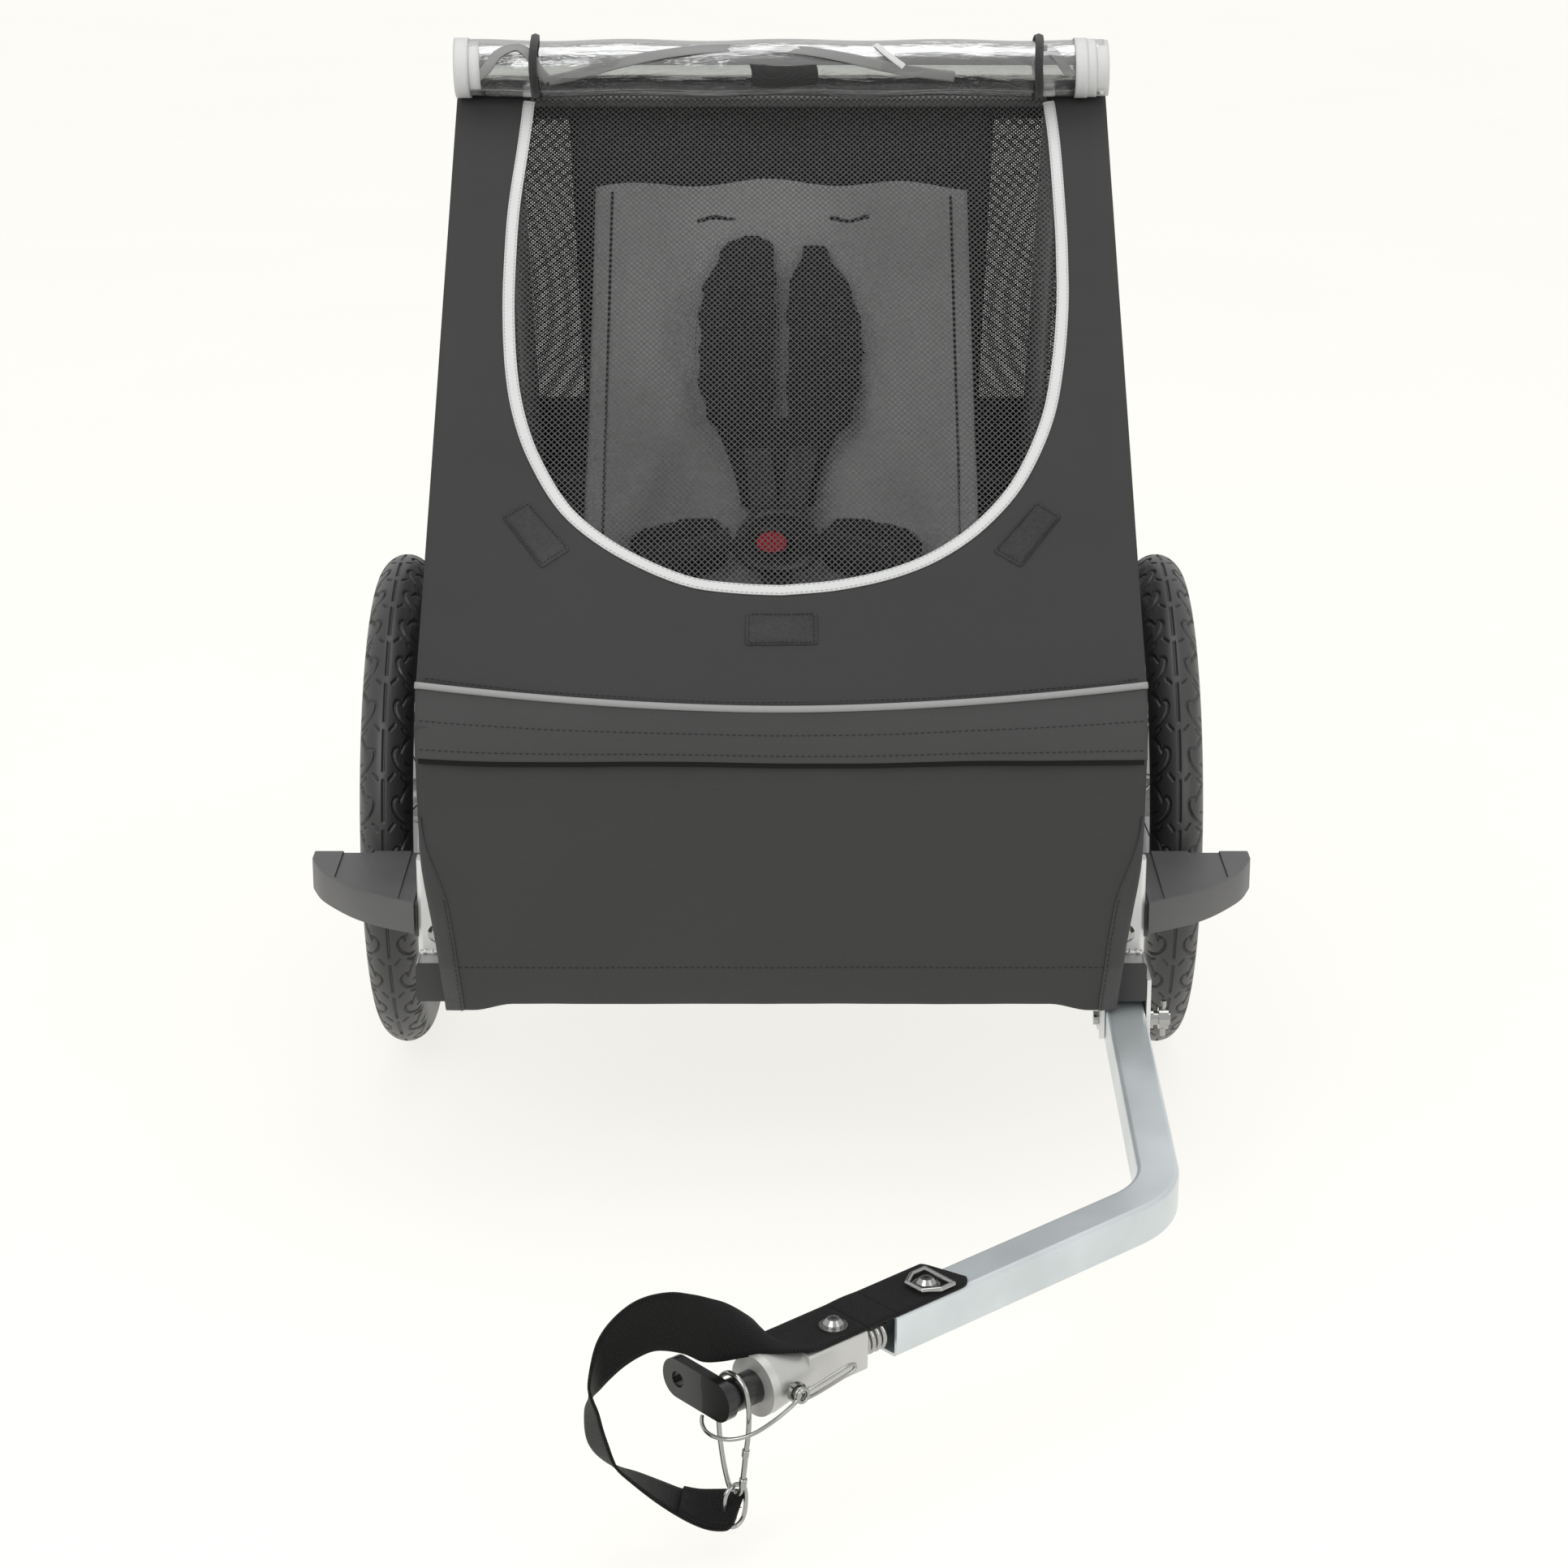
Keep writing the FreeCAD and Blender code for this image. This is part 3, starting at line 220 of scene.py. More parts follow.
def fabric(name, base, variation, weave=900.0, roughness=0.86, relief=0.35, sheen=0.25):
    """Woven cloth: crossed fine waves give the weave, noise the variation of tone."""
    shader = Shader(name)
    place = shader.place()
    wave_x, wave_z, wave_y = [shader.wave(place, weave, axis, distortion=0.4) for axis in "XZY"]
    threads = shader.math("MULTIPLY", shader.math("ADD", wave_x, wave_z), 0.5)
    threads = shader.weigh(threads, 0.7, wave_y, 0.3)
    clouds = shader.noise(place, scale=9.0, detail=4.0)
    fuzz = shader.noise(place, scale=420.0, detail=2.0)
    tone = shader.weigh(clouds, 0.6, fuzz, 0.25)
    tone = shader.math("ADD", tone, shader.math("MULTIPLY", threads, 0.15))
    return shader.surface({
        "Base Color": shader.ramp(tone, shade(base, 1 - variation), shade(base, 1 + variation)),
        "Roughness": roughness,
        "Sheen Weight": sheen,
        "Sheen Roughness": 0.5,
        "Specular IOR Level": 0.25,
        "Normal": shader.bump(shader.weigh(threads, 0.6, fuzz, 0.4), relief, distance=0.0006),
    })


def webbing(name, base, axis, scale):
    """Coarse tape with diagonal and straight ribs."""
    shader = Shader(name)
    place = shader.place()
    diagonal = shader.wave(place, scale, "DIAGONAL", distortion=0.6)
    straight = shader.wave(place, scale * 1.4, axis, distortion=0.5)
    fuzz = shader.noise(place, scale=600.0, detail=2.0)
    ribs = shader.weigh(diagonal, 0.5, straight, 0.5)
    tone = shader.ramp(ribs, shade(base, 0.55), shade(base, 1.5), start=0.2, end=0.8)
    height = shader.math("ADD", ribs, shader.math("MULTIPLY", fuzz, 0.3))
    return shader.surface({
        "Base Color": tone,
        "Roughness": 0.62,
        "Sheen Weight": 0.2,
        "Normal": shader.bump(height, strength=0.7, distance=0.0008),
    })


def strap_cloth(name, base, rib=1.5):
    """Webbing that follows its own length through the UV map: ribs across, a twill along."""
    shader = Shader(name)
    source = shader.node("TexCoord", {}).outputs["UV"]
    parts = shader.node("SeparateXYZ", {0: source}).outputs
    along = shader.math("MULTIPLY", parts["X"], 6.2832 / rib)
    across = shader.math("MULTIPLY", parts["Y"], 6.2832 / (rib * 1.1))
    twill = shader.math("SINE", shader.math("ADD", along, shader.math("SINE", across)))
    ribs = shader.math("SINE", across)
    threads = shader.math("ADD", shader.weigh(twill, 0.34, ribs, 0.16), 0.5)
    fuzz = shader.noise(shader.place(), scale=500.0, detail=2.0)
    threads = shader.weigh(threads, 0.8, fuzz, 0.2)
    return shader.surface({
        "Base Color": shader.ramp(threads, shade(base, 0.3), shade(base, 4.5), end=0.9),
        "Roughness": 0.6,
        "Specular IOR Level": 0.12,
        "Sheen Weight": 0.03,
        "Normal": shader.bump(threads, strength=0.9, distance=0.0007),
    })


def metal(name, base, roughness, streak=0.08, metallic=1.0, coat=0.0, brush=(1.0, 1.0, 18.0)):
    """Brushed metal; streak varies the roughness and brush stretches the grain."""
    shader = Shader(name)
    grain = shader.noise(shader.place(brush), scale=30.0, detail=5.0, roughness=0.6)
    clouds = shader.noise(shader.place(), scale=14.0, detail=3.0)
    return shader.surface({
        "Base Color": shader.ramp(clouds, shade(base, 0.88), shade(base, 1.06)),
        "Roughness": shader.scale_add(grain, streak * 2, roughness - streak),
        "Metallic": metallic,
        "Coat Weight": coat,
        "Normal": shader.bump(grain, strength=0.08, distance=0.0003),
    })


def plastic(name, base, roughness, grain=900.0, relief=0.2, specular=0.5):
    """Moulded surface with a fine grain."""
    shader = Shader(name)
    place = shader.place()
    pits = shader.noise(place, scale=grain, detail=2.0)
    clouds = shader.noise(place, scale=12.0, detail=3.0)
    return shader.surface({
        "Base Color": shader.ramp(clouds, shade(base, 0.86), shade(base, 1.12)),
        "Roughness": shader.scale_add(clouds, 0.16, roughness - 0.08),
        "Specular IOR Level": specular,
        "Normal": shader.bump(pits, relief, distance=0.0003),
    })


def mesh_cloth(name, base, axis, pitch, pitch_z, line, veil=0.0):
    """Open knit: two families of slanting threads with diamond holes between them.

    line is half a thread's share of the pitch. With a veil, the holes of a fine mesh
    seen at a flat angle blend into an even cover of that strength, and there the
    threads are painted up to three times lighter: painted light, not the threads' own colour.
    """
    shader = Shader(name)
    place = shader.place()
    parts = shader.node("SeparateXYZ", {0: place}).outputs
    run = shader.math("MULTIPLY", parts[axis], 1000.0 / pitch)
    rise = shader.math("MULTIPLY", parts["Z"], 1000.0 / pitch_z)
    distances = []
    for operation in ("ADD", "SUBTRACT"):
        share = shader.math("FRACT", shader.math(operation, run, rise))
        distances.append(shader.math("ABSOLUTE", shader.math("SUBTRACT", share, 0.5)))
    thread = shader.node("MapRange", {
        "From Min": line - 0.03, "From Max": line + 0.03, "To Min": 1.0, "To Max": 0.0,
        "Value": shader.math("MINIMUM", *distances)}).outputs["Result"]
    if veil:
        facing = shader.node("LayerWeight", {"Blend": 0.5}).outputs["Facing"]
        flat = shader.node("MapRange", {
            "From Min": 0.35, "From Max": 0.62, "To Min": 0.0, "To Max": 1.0,
            "Value": facing}).outputs["Result"]
        steep = shader.math("SUBTRACT", 1.0, flat)
        # painted light: seen at a flat angle the threads run up to three times lighter
        tone = shader.node("Mix", {0: flat, 6: base, 7: shade(base, 3.0)},
                           data_type="RGBA").outputs[2]
        cover = shader.math("ADD", shader.math("MULTIPLY", thread, steep),
                            shader.math("MULTIPLY", flat, veil))
    else:
        fuzz = shader.noise(place, scale=300.0, detail=2.0)
        tone = shader.ramp(fuzz, shade(base, 0.8), shade(base, 1.25))
        cover = thread
    shader.surface({"Base Color": tone, "Roughness": 0.7, "Sheen Weight": 0.02,
                    "Specular IOR Level": 0.12})
    # the threads let most of the light through, so that the cabin stays bright
    shadow = shader.node("LightPath", {}).outputs["Is Shadow Ray"]
    blocked = shader.math("SUBTRACT", 1.0, shader.math("MULTIPLY", shadow, 0.75))
    return shader.mix_to_output(shader.math("MULTIPLY", cover, blocked),
                                shader.node("BsdfTransparent", {}), shader.bsdf)


def clear_vinyl(name):
    """Clear sheet with soft ripples in its reflections."""
    shader = Shader(name)
    ripples = shader.noise(shader.place((1.2, 6.0, 6.0)), scale=14.0, detail=4.0, roughness=0.6)
    normal = shader.bump(ripples, strength=0.5, distance=0.004)
    clear = shader.node("BsdfTransparent", {"Color": (0.93, 0.935, 0.93, 1)})
    gloss = shader.node("BsdfGlossy", {"Roughness": 0.07, "Normal": normal})
    weight = shader.node("LayerWeight", {"Blend": 0.35, "Normal": normal})
    share = shader.math("MULTIPLY", weight.outputs["Facing"], 0.75)
    shader.mix_to_output(shader.math("ADD", share, 0.10, use_clamp=True), clear, gloss)
    shader.tree.nodes.remove(shader.bsdf)
    return shader.material


# ------------------------------------------------------------------ materials
SHELL = fabric("shell_cloth", color(51), variation=0.06, sheen=0.06)
# the flap is the shell cloth painted lighter (64 against 51): painted light for the light it catches
# facing a little up
FLAP_PAINTED_LIGHTER = fabric("flap_cloth_painted_lighter", color(64), variation=0.06, sheen=0.06)
# the lower panels are the shell cloth painted lighter (57 against 51): painted light for the top light
# that these upright panels miss
LOWER_SHELL_PAINTED_LIGHTER = fabric("shell_cloth_lower_painted_lighter", color(57), variation=0.06, sheen=0.06)
BINDING = webbing("binding_tape", color(38), axis="Z", scale=420.0)
TAPE = fabric("reflective_tape", color(193, 194, 193), variation=0.05, weave=1100.0,
              roughness=0.5, relief=0.25, sheen=0.0)
PIPING = fabric("piping_cord", color(140, 141, 140), variation=0.06, weave=1400.0,
                roughness=0.5, relief=0.3, sheen=0.0)
FRONT_MESH = mesh_cloth("front_window_mesh", color(70), "X", pitch=4.6, pitch_z=3.36, line=0.10)
SIDE_MESH = mesh_cloth("side_window_mesh", color(54), "Y", pitch=3.2, pitch_z=3.2, line=0.27,
                       veil=0.84)
REAR_MESH = mesh_cloth("rear_window_mesh", color(30), "X", pitch=3.2, pitch_z=2.9, line=0.33)
# the seat cloth's broad light and dark mottling (variation 0.20) is partly the cloth's own uneven tone
# and partly painted shade for its folds and round the pads
SEAT = fabric("seat_cloth", color(160), variation=0.20, weave=700.0, roughness=0.85,
              relief=0.5, sheen=0.1)
PAD = fabric("pad_cloth", color(25), variation=0.25, weave=520.0, roughness=0.85,
             relief=0.6, sheen=0.1)
POCKET = fabric("pocket_cloth", color(22), variation=0.15, weave=600.0, roughness=0.85,
                relief=0.5, sheen=0.05)
WEB = webbing("black_webbing", color(17), axis="Y", scale=300.0)
STRAP = strap_cloth("strap_webbing", color(11))
HOOK_TAPE = fabric("hook_tape", color(70), variation=0.5, weave=1500.0, roughness=0.95,
                   relief=1.0, sheen=0.0)
# near-black cloth for the strip behind the flap's lower edge: painted shadow
FLAP_EDGE_PAINTED_SHADOW = fabric("flap_edge_painted_shadow_cloth", color(15), variation=0.05, sheen=0.0)
GREY_STRIP = plastic("rolled_strip_grey", color(118, 119, 118), roughness=0.4, grain=700.0,
                     relief=0.1, specular=0.4)
webbing("hook_and_loop", color(37), axis="X", scale=620.0)
DARK_THREAD = plastic("thread_dark", color(24), roughness=0.7, relief=0.1, specular=0.3)
LIGHT_THREAD = plastic("thread_light", color(150), roughness=0.6, relief=0.1, specular=0.3)
VINYL = clear_vinyl("clear_vinyl_sheet")
RUBBER = plastic("tyre_rubber", color(54), roughness=0.40, grain=500.0, relief=0.12)
DARK_PLASTIC = plastic("dark_plastic_moulding", color(82), roughness=0.47, relief=0.35)
CAP = plastic("cap_plastic", color(50), roughness=0.5, relief=0.3, specular=0.45)
RED = plastic("red_button_plastic", color(205, 45, 58), roughness=0.3, relief=0.08, specular=0.6)
BUCKLE = plastic("buckle_plastic", color(30), roughness=0.42)
ALUMINIUM = metal("satin_aluminium", color(222, 222, 221), roughness=0.42, streak=0.06,
                  metallic=0.4)
TUBE = metal("frame_tube", color(180, 181, 181), roughness=0.36, metallic=0.7)
ARM = metal("arm_zinc_plate", color(206, 213, 215), roughness=0.30, streak=0.06,
            metallic=0.55, coat=0.15, brush=(2.0, 2.0, 6.0))
CAST = metal("coupler_cast", color(196, 196, 193), roughness=0.40, metallic=0.6)
ZINC = metal("bright_zinc_steel", color(168, 168, 166), roughness=0.17, streak=0.05,
             metallic=0.95)
BLACK = metal("black_coated_metal", color(22), roughness=0.30, streak=0.06, metallic=0.25,
              coat=0.3)
RIM = metal("rim_alloy", color(150, 151, 152), roughness=0.36)
SPOKE = metal("spoke_wire", color(190, 190, 191), roughness=0.25, streak=0.05)

# CAD pieces by the material they wear
CAD_MATERIALS = (
    (TUBE, "base_frame front_uprights rear_uprights canopy_rails top_crossbar rear_struts "
           "seat_support_hoops"),
    (CAP, "tube_end_caps"),
    (ALUMINIUM, "front_brackets tow_bracket_cheeks"),
    (ZINC, "bracket_bolts elbow_pins latch_plunger_left latch_plunger_right wheel_axles "
           "tow_pivot_bolt tow_lock_pin flex_spring hitch_pin bail_wire strap_hardware_arm "
           "strap_hardware_coupler snap_hook snap_hook_gate wheel_bearings_left "
           "wheel_bearings_right"),
    (RED, "buckle_button"),
    (ARM, "tow_arm_tube"),
    (CAST, "coupler_block"),
    (BLACK, "hitch_plate"),
    (RIM, "rim_left rim_right hub_left hub_right"),
    (SPOKE, "spokes_left spokes_right"),
    (BUCKLE, "axle_button_left axle_button_right"),
)
for material, pieces in CAD_MATERIALS:
    for piece in pieces.split():
        mesh = frame["nodes"][piece].data
        mesh.materials.clear()
        mesh.materials.append(material)
        mesh.shade_smooth()
        mesh.set_sharp_from_angle(angle=radians(27))


# ------------------------------------------------------------------ mesh tools
def add_mesh(name, data, material, body=None, slot=None, replaced=()):
    vertices, faces = data
    mesh = bpy.data.meshes.new(name)
    mesh.from_pydata([(x * MM, (y + AXLE_Y) * MM, z * MM) for x, y, z in vertices], [], faces)
    mesh.update()
    for face in mesh.polygons:
        face.use_smooth = True
    mesh.materials.append(material)
    item = bpy.data.objects.new(name, mesh)
    scene.collection.objects.link(item)
    if body:
        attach(item, body)
    if replaced:
        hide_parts(*replaced)
    return item


def thicken(item, thickness, offset=0.0):
    modifier = item.modifiers.new("Solidify", "SOLIDIFY")
    modifier.thickness = thickness * MM
    modifier.offset = offset
    return item


def subdivide(item):
    modifier = item.modifiers.new("Subsurf", "SUBSURF")
    modifier.levels = modifier.render_levels = 1


def quads(size, rows, ring=False, loop=False, start=0):
    """Faces between rows of points. ring closes each row, loop joins the last to the first."""
    faces = []
    for j in range(rows if loop else rows - 1):
        row, after = start + j * size, start + (j + 1) % rows * size
        for i in range(size if ring else size - 1):
            k = (i + 1) % size
            faces.append((row + i, row + k, after + k, after + i))
    return faces


def flipped(faces):
    return [(a, d, c, b) for a, b, c, d in faces]


def fan(count):
    """Triangles from point 0 to the ring that follows it."""
    return [(0, 1 + i, 1 + (i + 1) % count) for i in range(count)]


def grid(surface, columns, rows):
    """Mesh data of surface(across, along), both running from 0 to 1."""
    vertices = [surface(i / columns, j / rows) for j in range(rows + 1)
                for i in range(columns + 1)]
    return vertices, quads(columns + 1, rows + 1)


def sheet(name, surface, columns, rows, material, thickness, body, slot, replaced=(), offset=0.0):
    item = add_mesh(name, grid(surface, columns, rows), material, body, slot, replaced)
    return thicken(item, thickness, offset)


def span(start, end, steps):
    return [start + (end - start) * i / steps for i in range(steps + 1)]


def centre(points):
    return sum(points[1:], points[0]) / len(points)


def smoothstep(value):
    return value * value * (3 - 2 * value)


def interpolate(table, at):
    """Value at a place in a table of (place, value) rows."""
    for (start, first), (end, last) in zip(table, table[1:]):
        if start <= at <= end:
            return first + (last - first) * (at - start) / max(end - start, 1e-6)
    return table[-1][1] if at > table[-1][0] else table[0][1]


def resample(points, step, closed=False):
    """Points at even distances along a polyline."""
    points = [Vector(point) for point in points]
    if closed:
        points = points + [points[0]]
    reached = [0.0]
    for a, b in zip(points, points[1:]):
        reached.append(reached[-1] + (b - a).length)
    count = max(2, int(round(reached[-1] / step)))
    result, k = [], 0
    for i in range(count + (0 if closed else 1)):
        target = reached[-1] * i / count
        while k < len(points) - 2 and reached[k + 1] < target:
            k += 1
        share = (target - reached[k]) / max(reached[k + 1] - reached[k], 1e-9)
        result.append(points[k].lerp(points[k + 1], min(max(share, 0), 1)))
    return result


def spline(points, steps=8, closed=False):
    """Catmull-Rom curve through the points."""
    points = [Vector(point) for point in points]
    count = len(points)
    result = []
    for i in range(count if closed else count - 1):
        if closed:
            p0, p1, p2, p3 = (points[(i + k) % count] for k in (-1, 0, 1, 2))
        else:
            p0, p1, p2, p3 = (points[min(max(i + k, 0), count - 1)] for k in (-1, 0, 1, 2))
        for k in range(steps):
            t = k / steps
            result.append(0.5 * ((2 * p1) + (p2 - p0) * t
                                 + (2 * p0 - 5 * p1 + 4 * p2 - p3) * t * t
                                 + (-p0 + 3 * p1 - 3 * p2 + p3) * t ** 3))
    if not closed:
        result.append(points[-1])
    return result


def tangents(points, closed=False):
    count = len(points)
    result = []
    for i in range(count):
        before = points[i - 1] if (i > 0 or closed) else points[i]
        after = points[(i + 1) % count] if (i < count - 1 or closed) else points[i]
        result.append((after - before).normalized())
    return result


def edge_ring(corners, count, inset):
    """count points along each edge of a polygon, kept an inset share away from the corners."""
    return [corner.lerp(corners[(i + 1) % len(corners)], inset + (1 - 2 * inset) * k / (count - 1))
            for i, corner in enumerate(corners) for k in range(count)]


def rounded_ring(corners, radius, count=144, steps=30):
    """Even ring round a polygon with rounded corners."""
    ring = []
    for i, corner in enumerate(corners):
        before = (corners[i - 1] - corner).normalized()
        after = (corners[(i + 1) % len(corners)] - corner).normalized()
        reach = radius / tan(acos(before.dot(after)) / 2)
        start, end = corner + before * reach, corner + after * reach
        for k in range(steps):
            u = k / (steps - 1)
            ring.append(start * (1 - u) ** 2 + corner * (2 * u * (1 - u)) + end * u * u)
    perimeter = sum((a - b).length for a, b in zip(ring, ring[1:] + ring[:1]))
    return resample(ring, perimeter / count, closed=True)


# Section of a flat tape with rounded edges: share of the width, share of the height
TAPE_SECTION = ((-0.5, 0.05), (-0.47, 0.75), (-0.3, 1.0), (0, 1.0), (0.3, 1.0), (0.47, 0.75),
                (0.5, 0.05), (0.3, -0.05), (-0.3, -0.05))


def ribbon_data(points, normals, width, height, crown=0.25, closed=False, lift=0.0):
    """Tape along the points; normals is one Vector, or one per point."""
    if isinstance(normals, Vector):
        normals = [normals] * len(points)
    count, size = len(points), len(TAPE_SECTION)
    vertices = []
    for point, run, normal in zip(points, tangents(points, closed), normals):
        normal = (normal - run * normal.dot(run)).normalized()
        beside = run.cross(normal).normalized()
        for out, rise in TAPE_SECTION:
            rise += crown if out == 0 else 0
            vertices.append(point + beside * (out * width) + normal * (rise * height + lift))
    faces = quads(size, count, ring=True, loop=closed)
    if not closed:
        faces.append(tuple(range(size)))
        faces.append(tuple(reversed(range((count - 1) * size, count * size))))
    return vertices, faces


def map_run(item, places):
    """UV map in millimetres: distance along a strap, distance across it."""
    layer = item.data.uv_layers.new(name="run")
    for corner in item.data.loops:
        layer.data[corner.index].uv = places[corner.vertex_index]


def ribbon(name, points, normals, width, height, material, body, slot, replaced=(), **shape):
    data = ribbon_data(points, normals, width, height, **shape)
    item = add_mesh(name, data, material, body, slot, replaced)
    reached = [0.0]
    for a, b in zip(points, points[1:]):
        reached.append(reached[-1] + (b - a).length)
    map_run(item, [(run, out * width) for run in reached for out, _ in TAPE_SECTION])
    return item


def band_between(name, first_edge, second_edge, thickness, material, body, slot, replaced=(),
                 rows=8):
    """A strap given by its two edges."""
    vertices, places = [], []
    run = 0.0
    for i, (p, q) in enumerate(zip(first_edge, second_edge)):
        if i:
            run += ((p + q) / 2 - (first_edge[i - 1] + second_edge[i - 1]) / 2).length
        for k in range(rows + 1):
            vertices.append(p.lerp(q, k / rows))
            places.append((run, (p - q).length * k / rows))
    data = vertices, quads(rows + 1, len(first_edge))
    item = add_mesh(name, data, material, body, slot, replaced)
    map_run(item, places)
    return thicken(item, thickness)


def tube_data(points, radius, sides, closed=False):
    """Round tube; radius is a number or a function of the share of the run."""
    runs = tangents(points, closed)
    up = vec(0, 0, 1) if abs(runs[0].z) < 0.9 else vec(1, 0, 0)
    normal = (up - runs[0] * up.dot(runs[0])).normalized()
    count = len(points)
    vertices = []
    for i, (point, run) in enumerate(zip(points, runs)):
        normal = (normal - run * normal.dot(run)).normalized()
        beside = run.cross(normal)
        reach = radius(i / (count - 1)) if callable(radius) else radius
        for k in range(sides):
            angle = 2 * pi * k / sides
            vertices.append(point + normal * (cos(angle) * reach) + beside * (sin(angle) * reach))
    faces = quads(sides, count, ring=True, loop=closed)
    if not closed:
        faces.append(tuple(reversed(range(sides))))
        faces.append(tuple(range((count - 1) * sides, count * sides)))
    return vertices, faces


# One stitch, drawn as a short thread: share of its length, share of its radius
STITCH_SECTIONS = ((-0.5, 0.15), (-0.36, 0.9), (0.36, 0.9), (0.5, 0.15))


def sew(name, lines, normal, stitch, material, body, slot):
    """Rows of stitches standing on a surface; stitch is (pitch, length, radius, lift)."""
    pitch, length, radius, lift = stitch
    vertices, faces = [], []
    for line in lines:
        points = resample(line, pitch)
        for point, run in zip(points, tangents(points)):
            start = len(vertices)
            beside = run.cross(normal).normalized()
            rise = beside.cross(run).normalized()
            for along, share in STITCH_SECTIONS:
                for j in range(6):
                    angle = 2 * pi * j / 6
                    vertices.append(point + run * (along * length)
                                    + rise * (lift + cos(angle) * radius * share)
                                    + beside * (sin(angle) * radius * share))
            faces += quads(6, 4, ring=True, start=start)
            faces.append(tuple(reversed(range(start, start + 6))))
            faces.append(tuple(range(start + 18, start + 24)))
    return add_mesh(name, (vertices, faces), material, body, slot)


def pad_data(outline, normal, thickness, crown, rings):
    """Closed pad from an outline: crowned front, flatter back, pinched edge."""
    middle = centre(outline)
    count = len(outline)
    vertices = [middle + normal * (thickness * 0.5 + crown)]
    for k in range(1, rings + 1):
        u = k / rings
        height = (thickness * 0.5 + crown * (1 - u ** 2.0)) * (1 - u ** 6)
        vertices += [middle.lerp(point, u) + normal * height for point in outline]
    faces = fan(count) + flipped(quads(count, rings, ring=True, start=1))
    back = len(vertices)
    vertices.append(middle - normal * (thickness * 0.5))
    for k in range(1, rings):
        u = k / rings
        height = thickness * 0.5 * (1 - u ** 6)
        vertices += [middle.lerp(point, u) - normal * height for point in outline]
    faces += [(back + a, back + c, back + b) for a, b, c in fan(count)]
    faces += quads(count, rings - 1, ring=True, start=back + 1)
    # the last ring of the back joins the rim of the front
    rim, last = 1 + (rings - 1) * count, back + 1 + (rings - 2) * count
    for i in range(count):
        k = (i + 1) % count
        faces.append((last + i, last + k, rim + k, rim + i))
    return vertices, faces


def inflate(item, frames, reach, voxel, relax):
    """Cloth pressure swells a pad, no point moving further than reach; then it rides the base."""
    bpy.context.view_layer.objects.active = item
    for other in bpy.context.selected_objects:
        other.select_set(False)
    item.select_set(True)
    remesh = item.modifiers.new("Remesh", "REMESH")
    remesh.mode = "VOXEL"
    remesh.voxel_size = voxel * MM
    bpy.ops.object.modifier_apply(modifier="Remesh")
    rest = [vertex.co.copy() for vertex in item.data.vertices]
    cloth = item.modifiers.new("Cloth", "CLOTH")
    settings = cloth.settings
    settings.use_pressure = True
    settings.uniform_pressure_force = 4.0
    settings.effector_weights.gravity = 0
    settings.quality = 6
    settings.tension_stiffness = 12
    settings.bending_stiffness = 1.2
    cloth.point_cache.frame_start = 1
    cloth.point_cache.frame_end = frames
    for number in range(1, frames + 1):
        scene.frame_set(number)
    swollen = item.evaluated_get(bpy.context.evaluated_depsgraph_get())
    moved = [vertex.co.copy() for vertex in swollen.data.vertices]
    item.modifiers.remove(cloth)
    limit = reach * MM
    for vertex, before, after in zip(item.data.vertices, rest, moved):
        shift = after - before
        if shift.length > limit:
            shift *= limit / shift.length
        vertex.co = before + shift
    scene.frame_set(1)
    smooth = item.modifiers.new("Smooth", "SMOOTH")
    smooth.factor = 0.5
    smooth.iterations = relax
    bpy.ops.object.modifier_apply(modifier="Smooth")
    subdivide(item)
    for face in item.data.polygons:
        face.use_smooth = True
    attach(item, "base")


# ------------------------------------------------------------------ front cover
# Window edge from the top down to the middle of the bottom: x, distance up from the belt
WINDOW_RIGHT = [
    (-198.5, 640), (-198.8, 600), (-201.4, 548), (-206.4, 476), (-207.2, 420), (-206.2, 368),
    (-201.8, 309), (-193.8, 262), (-180, 219), (-155.4, 172), (-119, 137), (-71.6, 110),
    (-34, 102), (0, 100)]
WINDOW_LEFT = [
    (210.5, 640), (210.5, 600), (213.6, 544), (214.8, 462), (214.4, 420), (212.6, 371),
    (206.4, 312), (196.1, 258), (174.7, 203), (148, 164), (118, 136), (84, 117), (42, 105),
    (0, 100)]
WINDOW_TOP = 595.0


def window_half(table):
    half = [point for point in spline(table) if point.y <= WINDOW_TOP]
    half[0].y = WINDOW_TOP
    return half


WINDOW_OUTLINE = resample(window_half(WINDOW_RIGHT) + window_half(WINDOW_LEFT)[-2::-1], 9.0)


def belt_edge(x):
    """Height of the cover's lower edge; it rises towards the sides."""
    return -8.0 + 21.0 * min(abs(x) / HALF_WIDTH, 1.0) ** 1.8


def cover_sag(x, up):
    """The cloth is drawn taut between the rails, with a little sag and soft pulls."""
    share = abs(x) / HALF_WIDTH
    sag = -2.2 * (1 - share * share) * sin(pi * min(max(up / 600.0, 0), 1))
    pulls = 0.8 * uneven(x, up * 0.6, 1.3, 0.012) + 0.35 * uneven(x, up, 4.1, 0.035)
    side_ridge = 1.2 * exp(-((abs(x) - 246) / 9.0) ** 2)
    belt_waves = 0.7 * exp(-max(up, 0) / 30.0) * sin(x * 0.045)
    return sag + pulls + side_ridge + belt_waves


def on_cloth(x, up, lift=0.0):
    return on_cover(x, up, cover_sag(x, up) + lift)


CORNER_UP = 60.0      # below this the cover's side turns into its belt corner
SIDE_FROM = 215       # window points above this face the cover's side
BELT_HALF = 182.0     # half width of the window's bottom, which faces the belt
BELT_SHARE = 0.72     # share of that width that faces the straight part of the belt


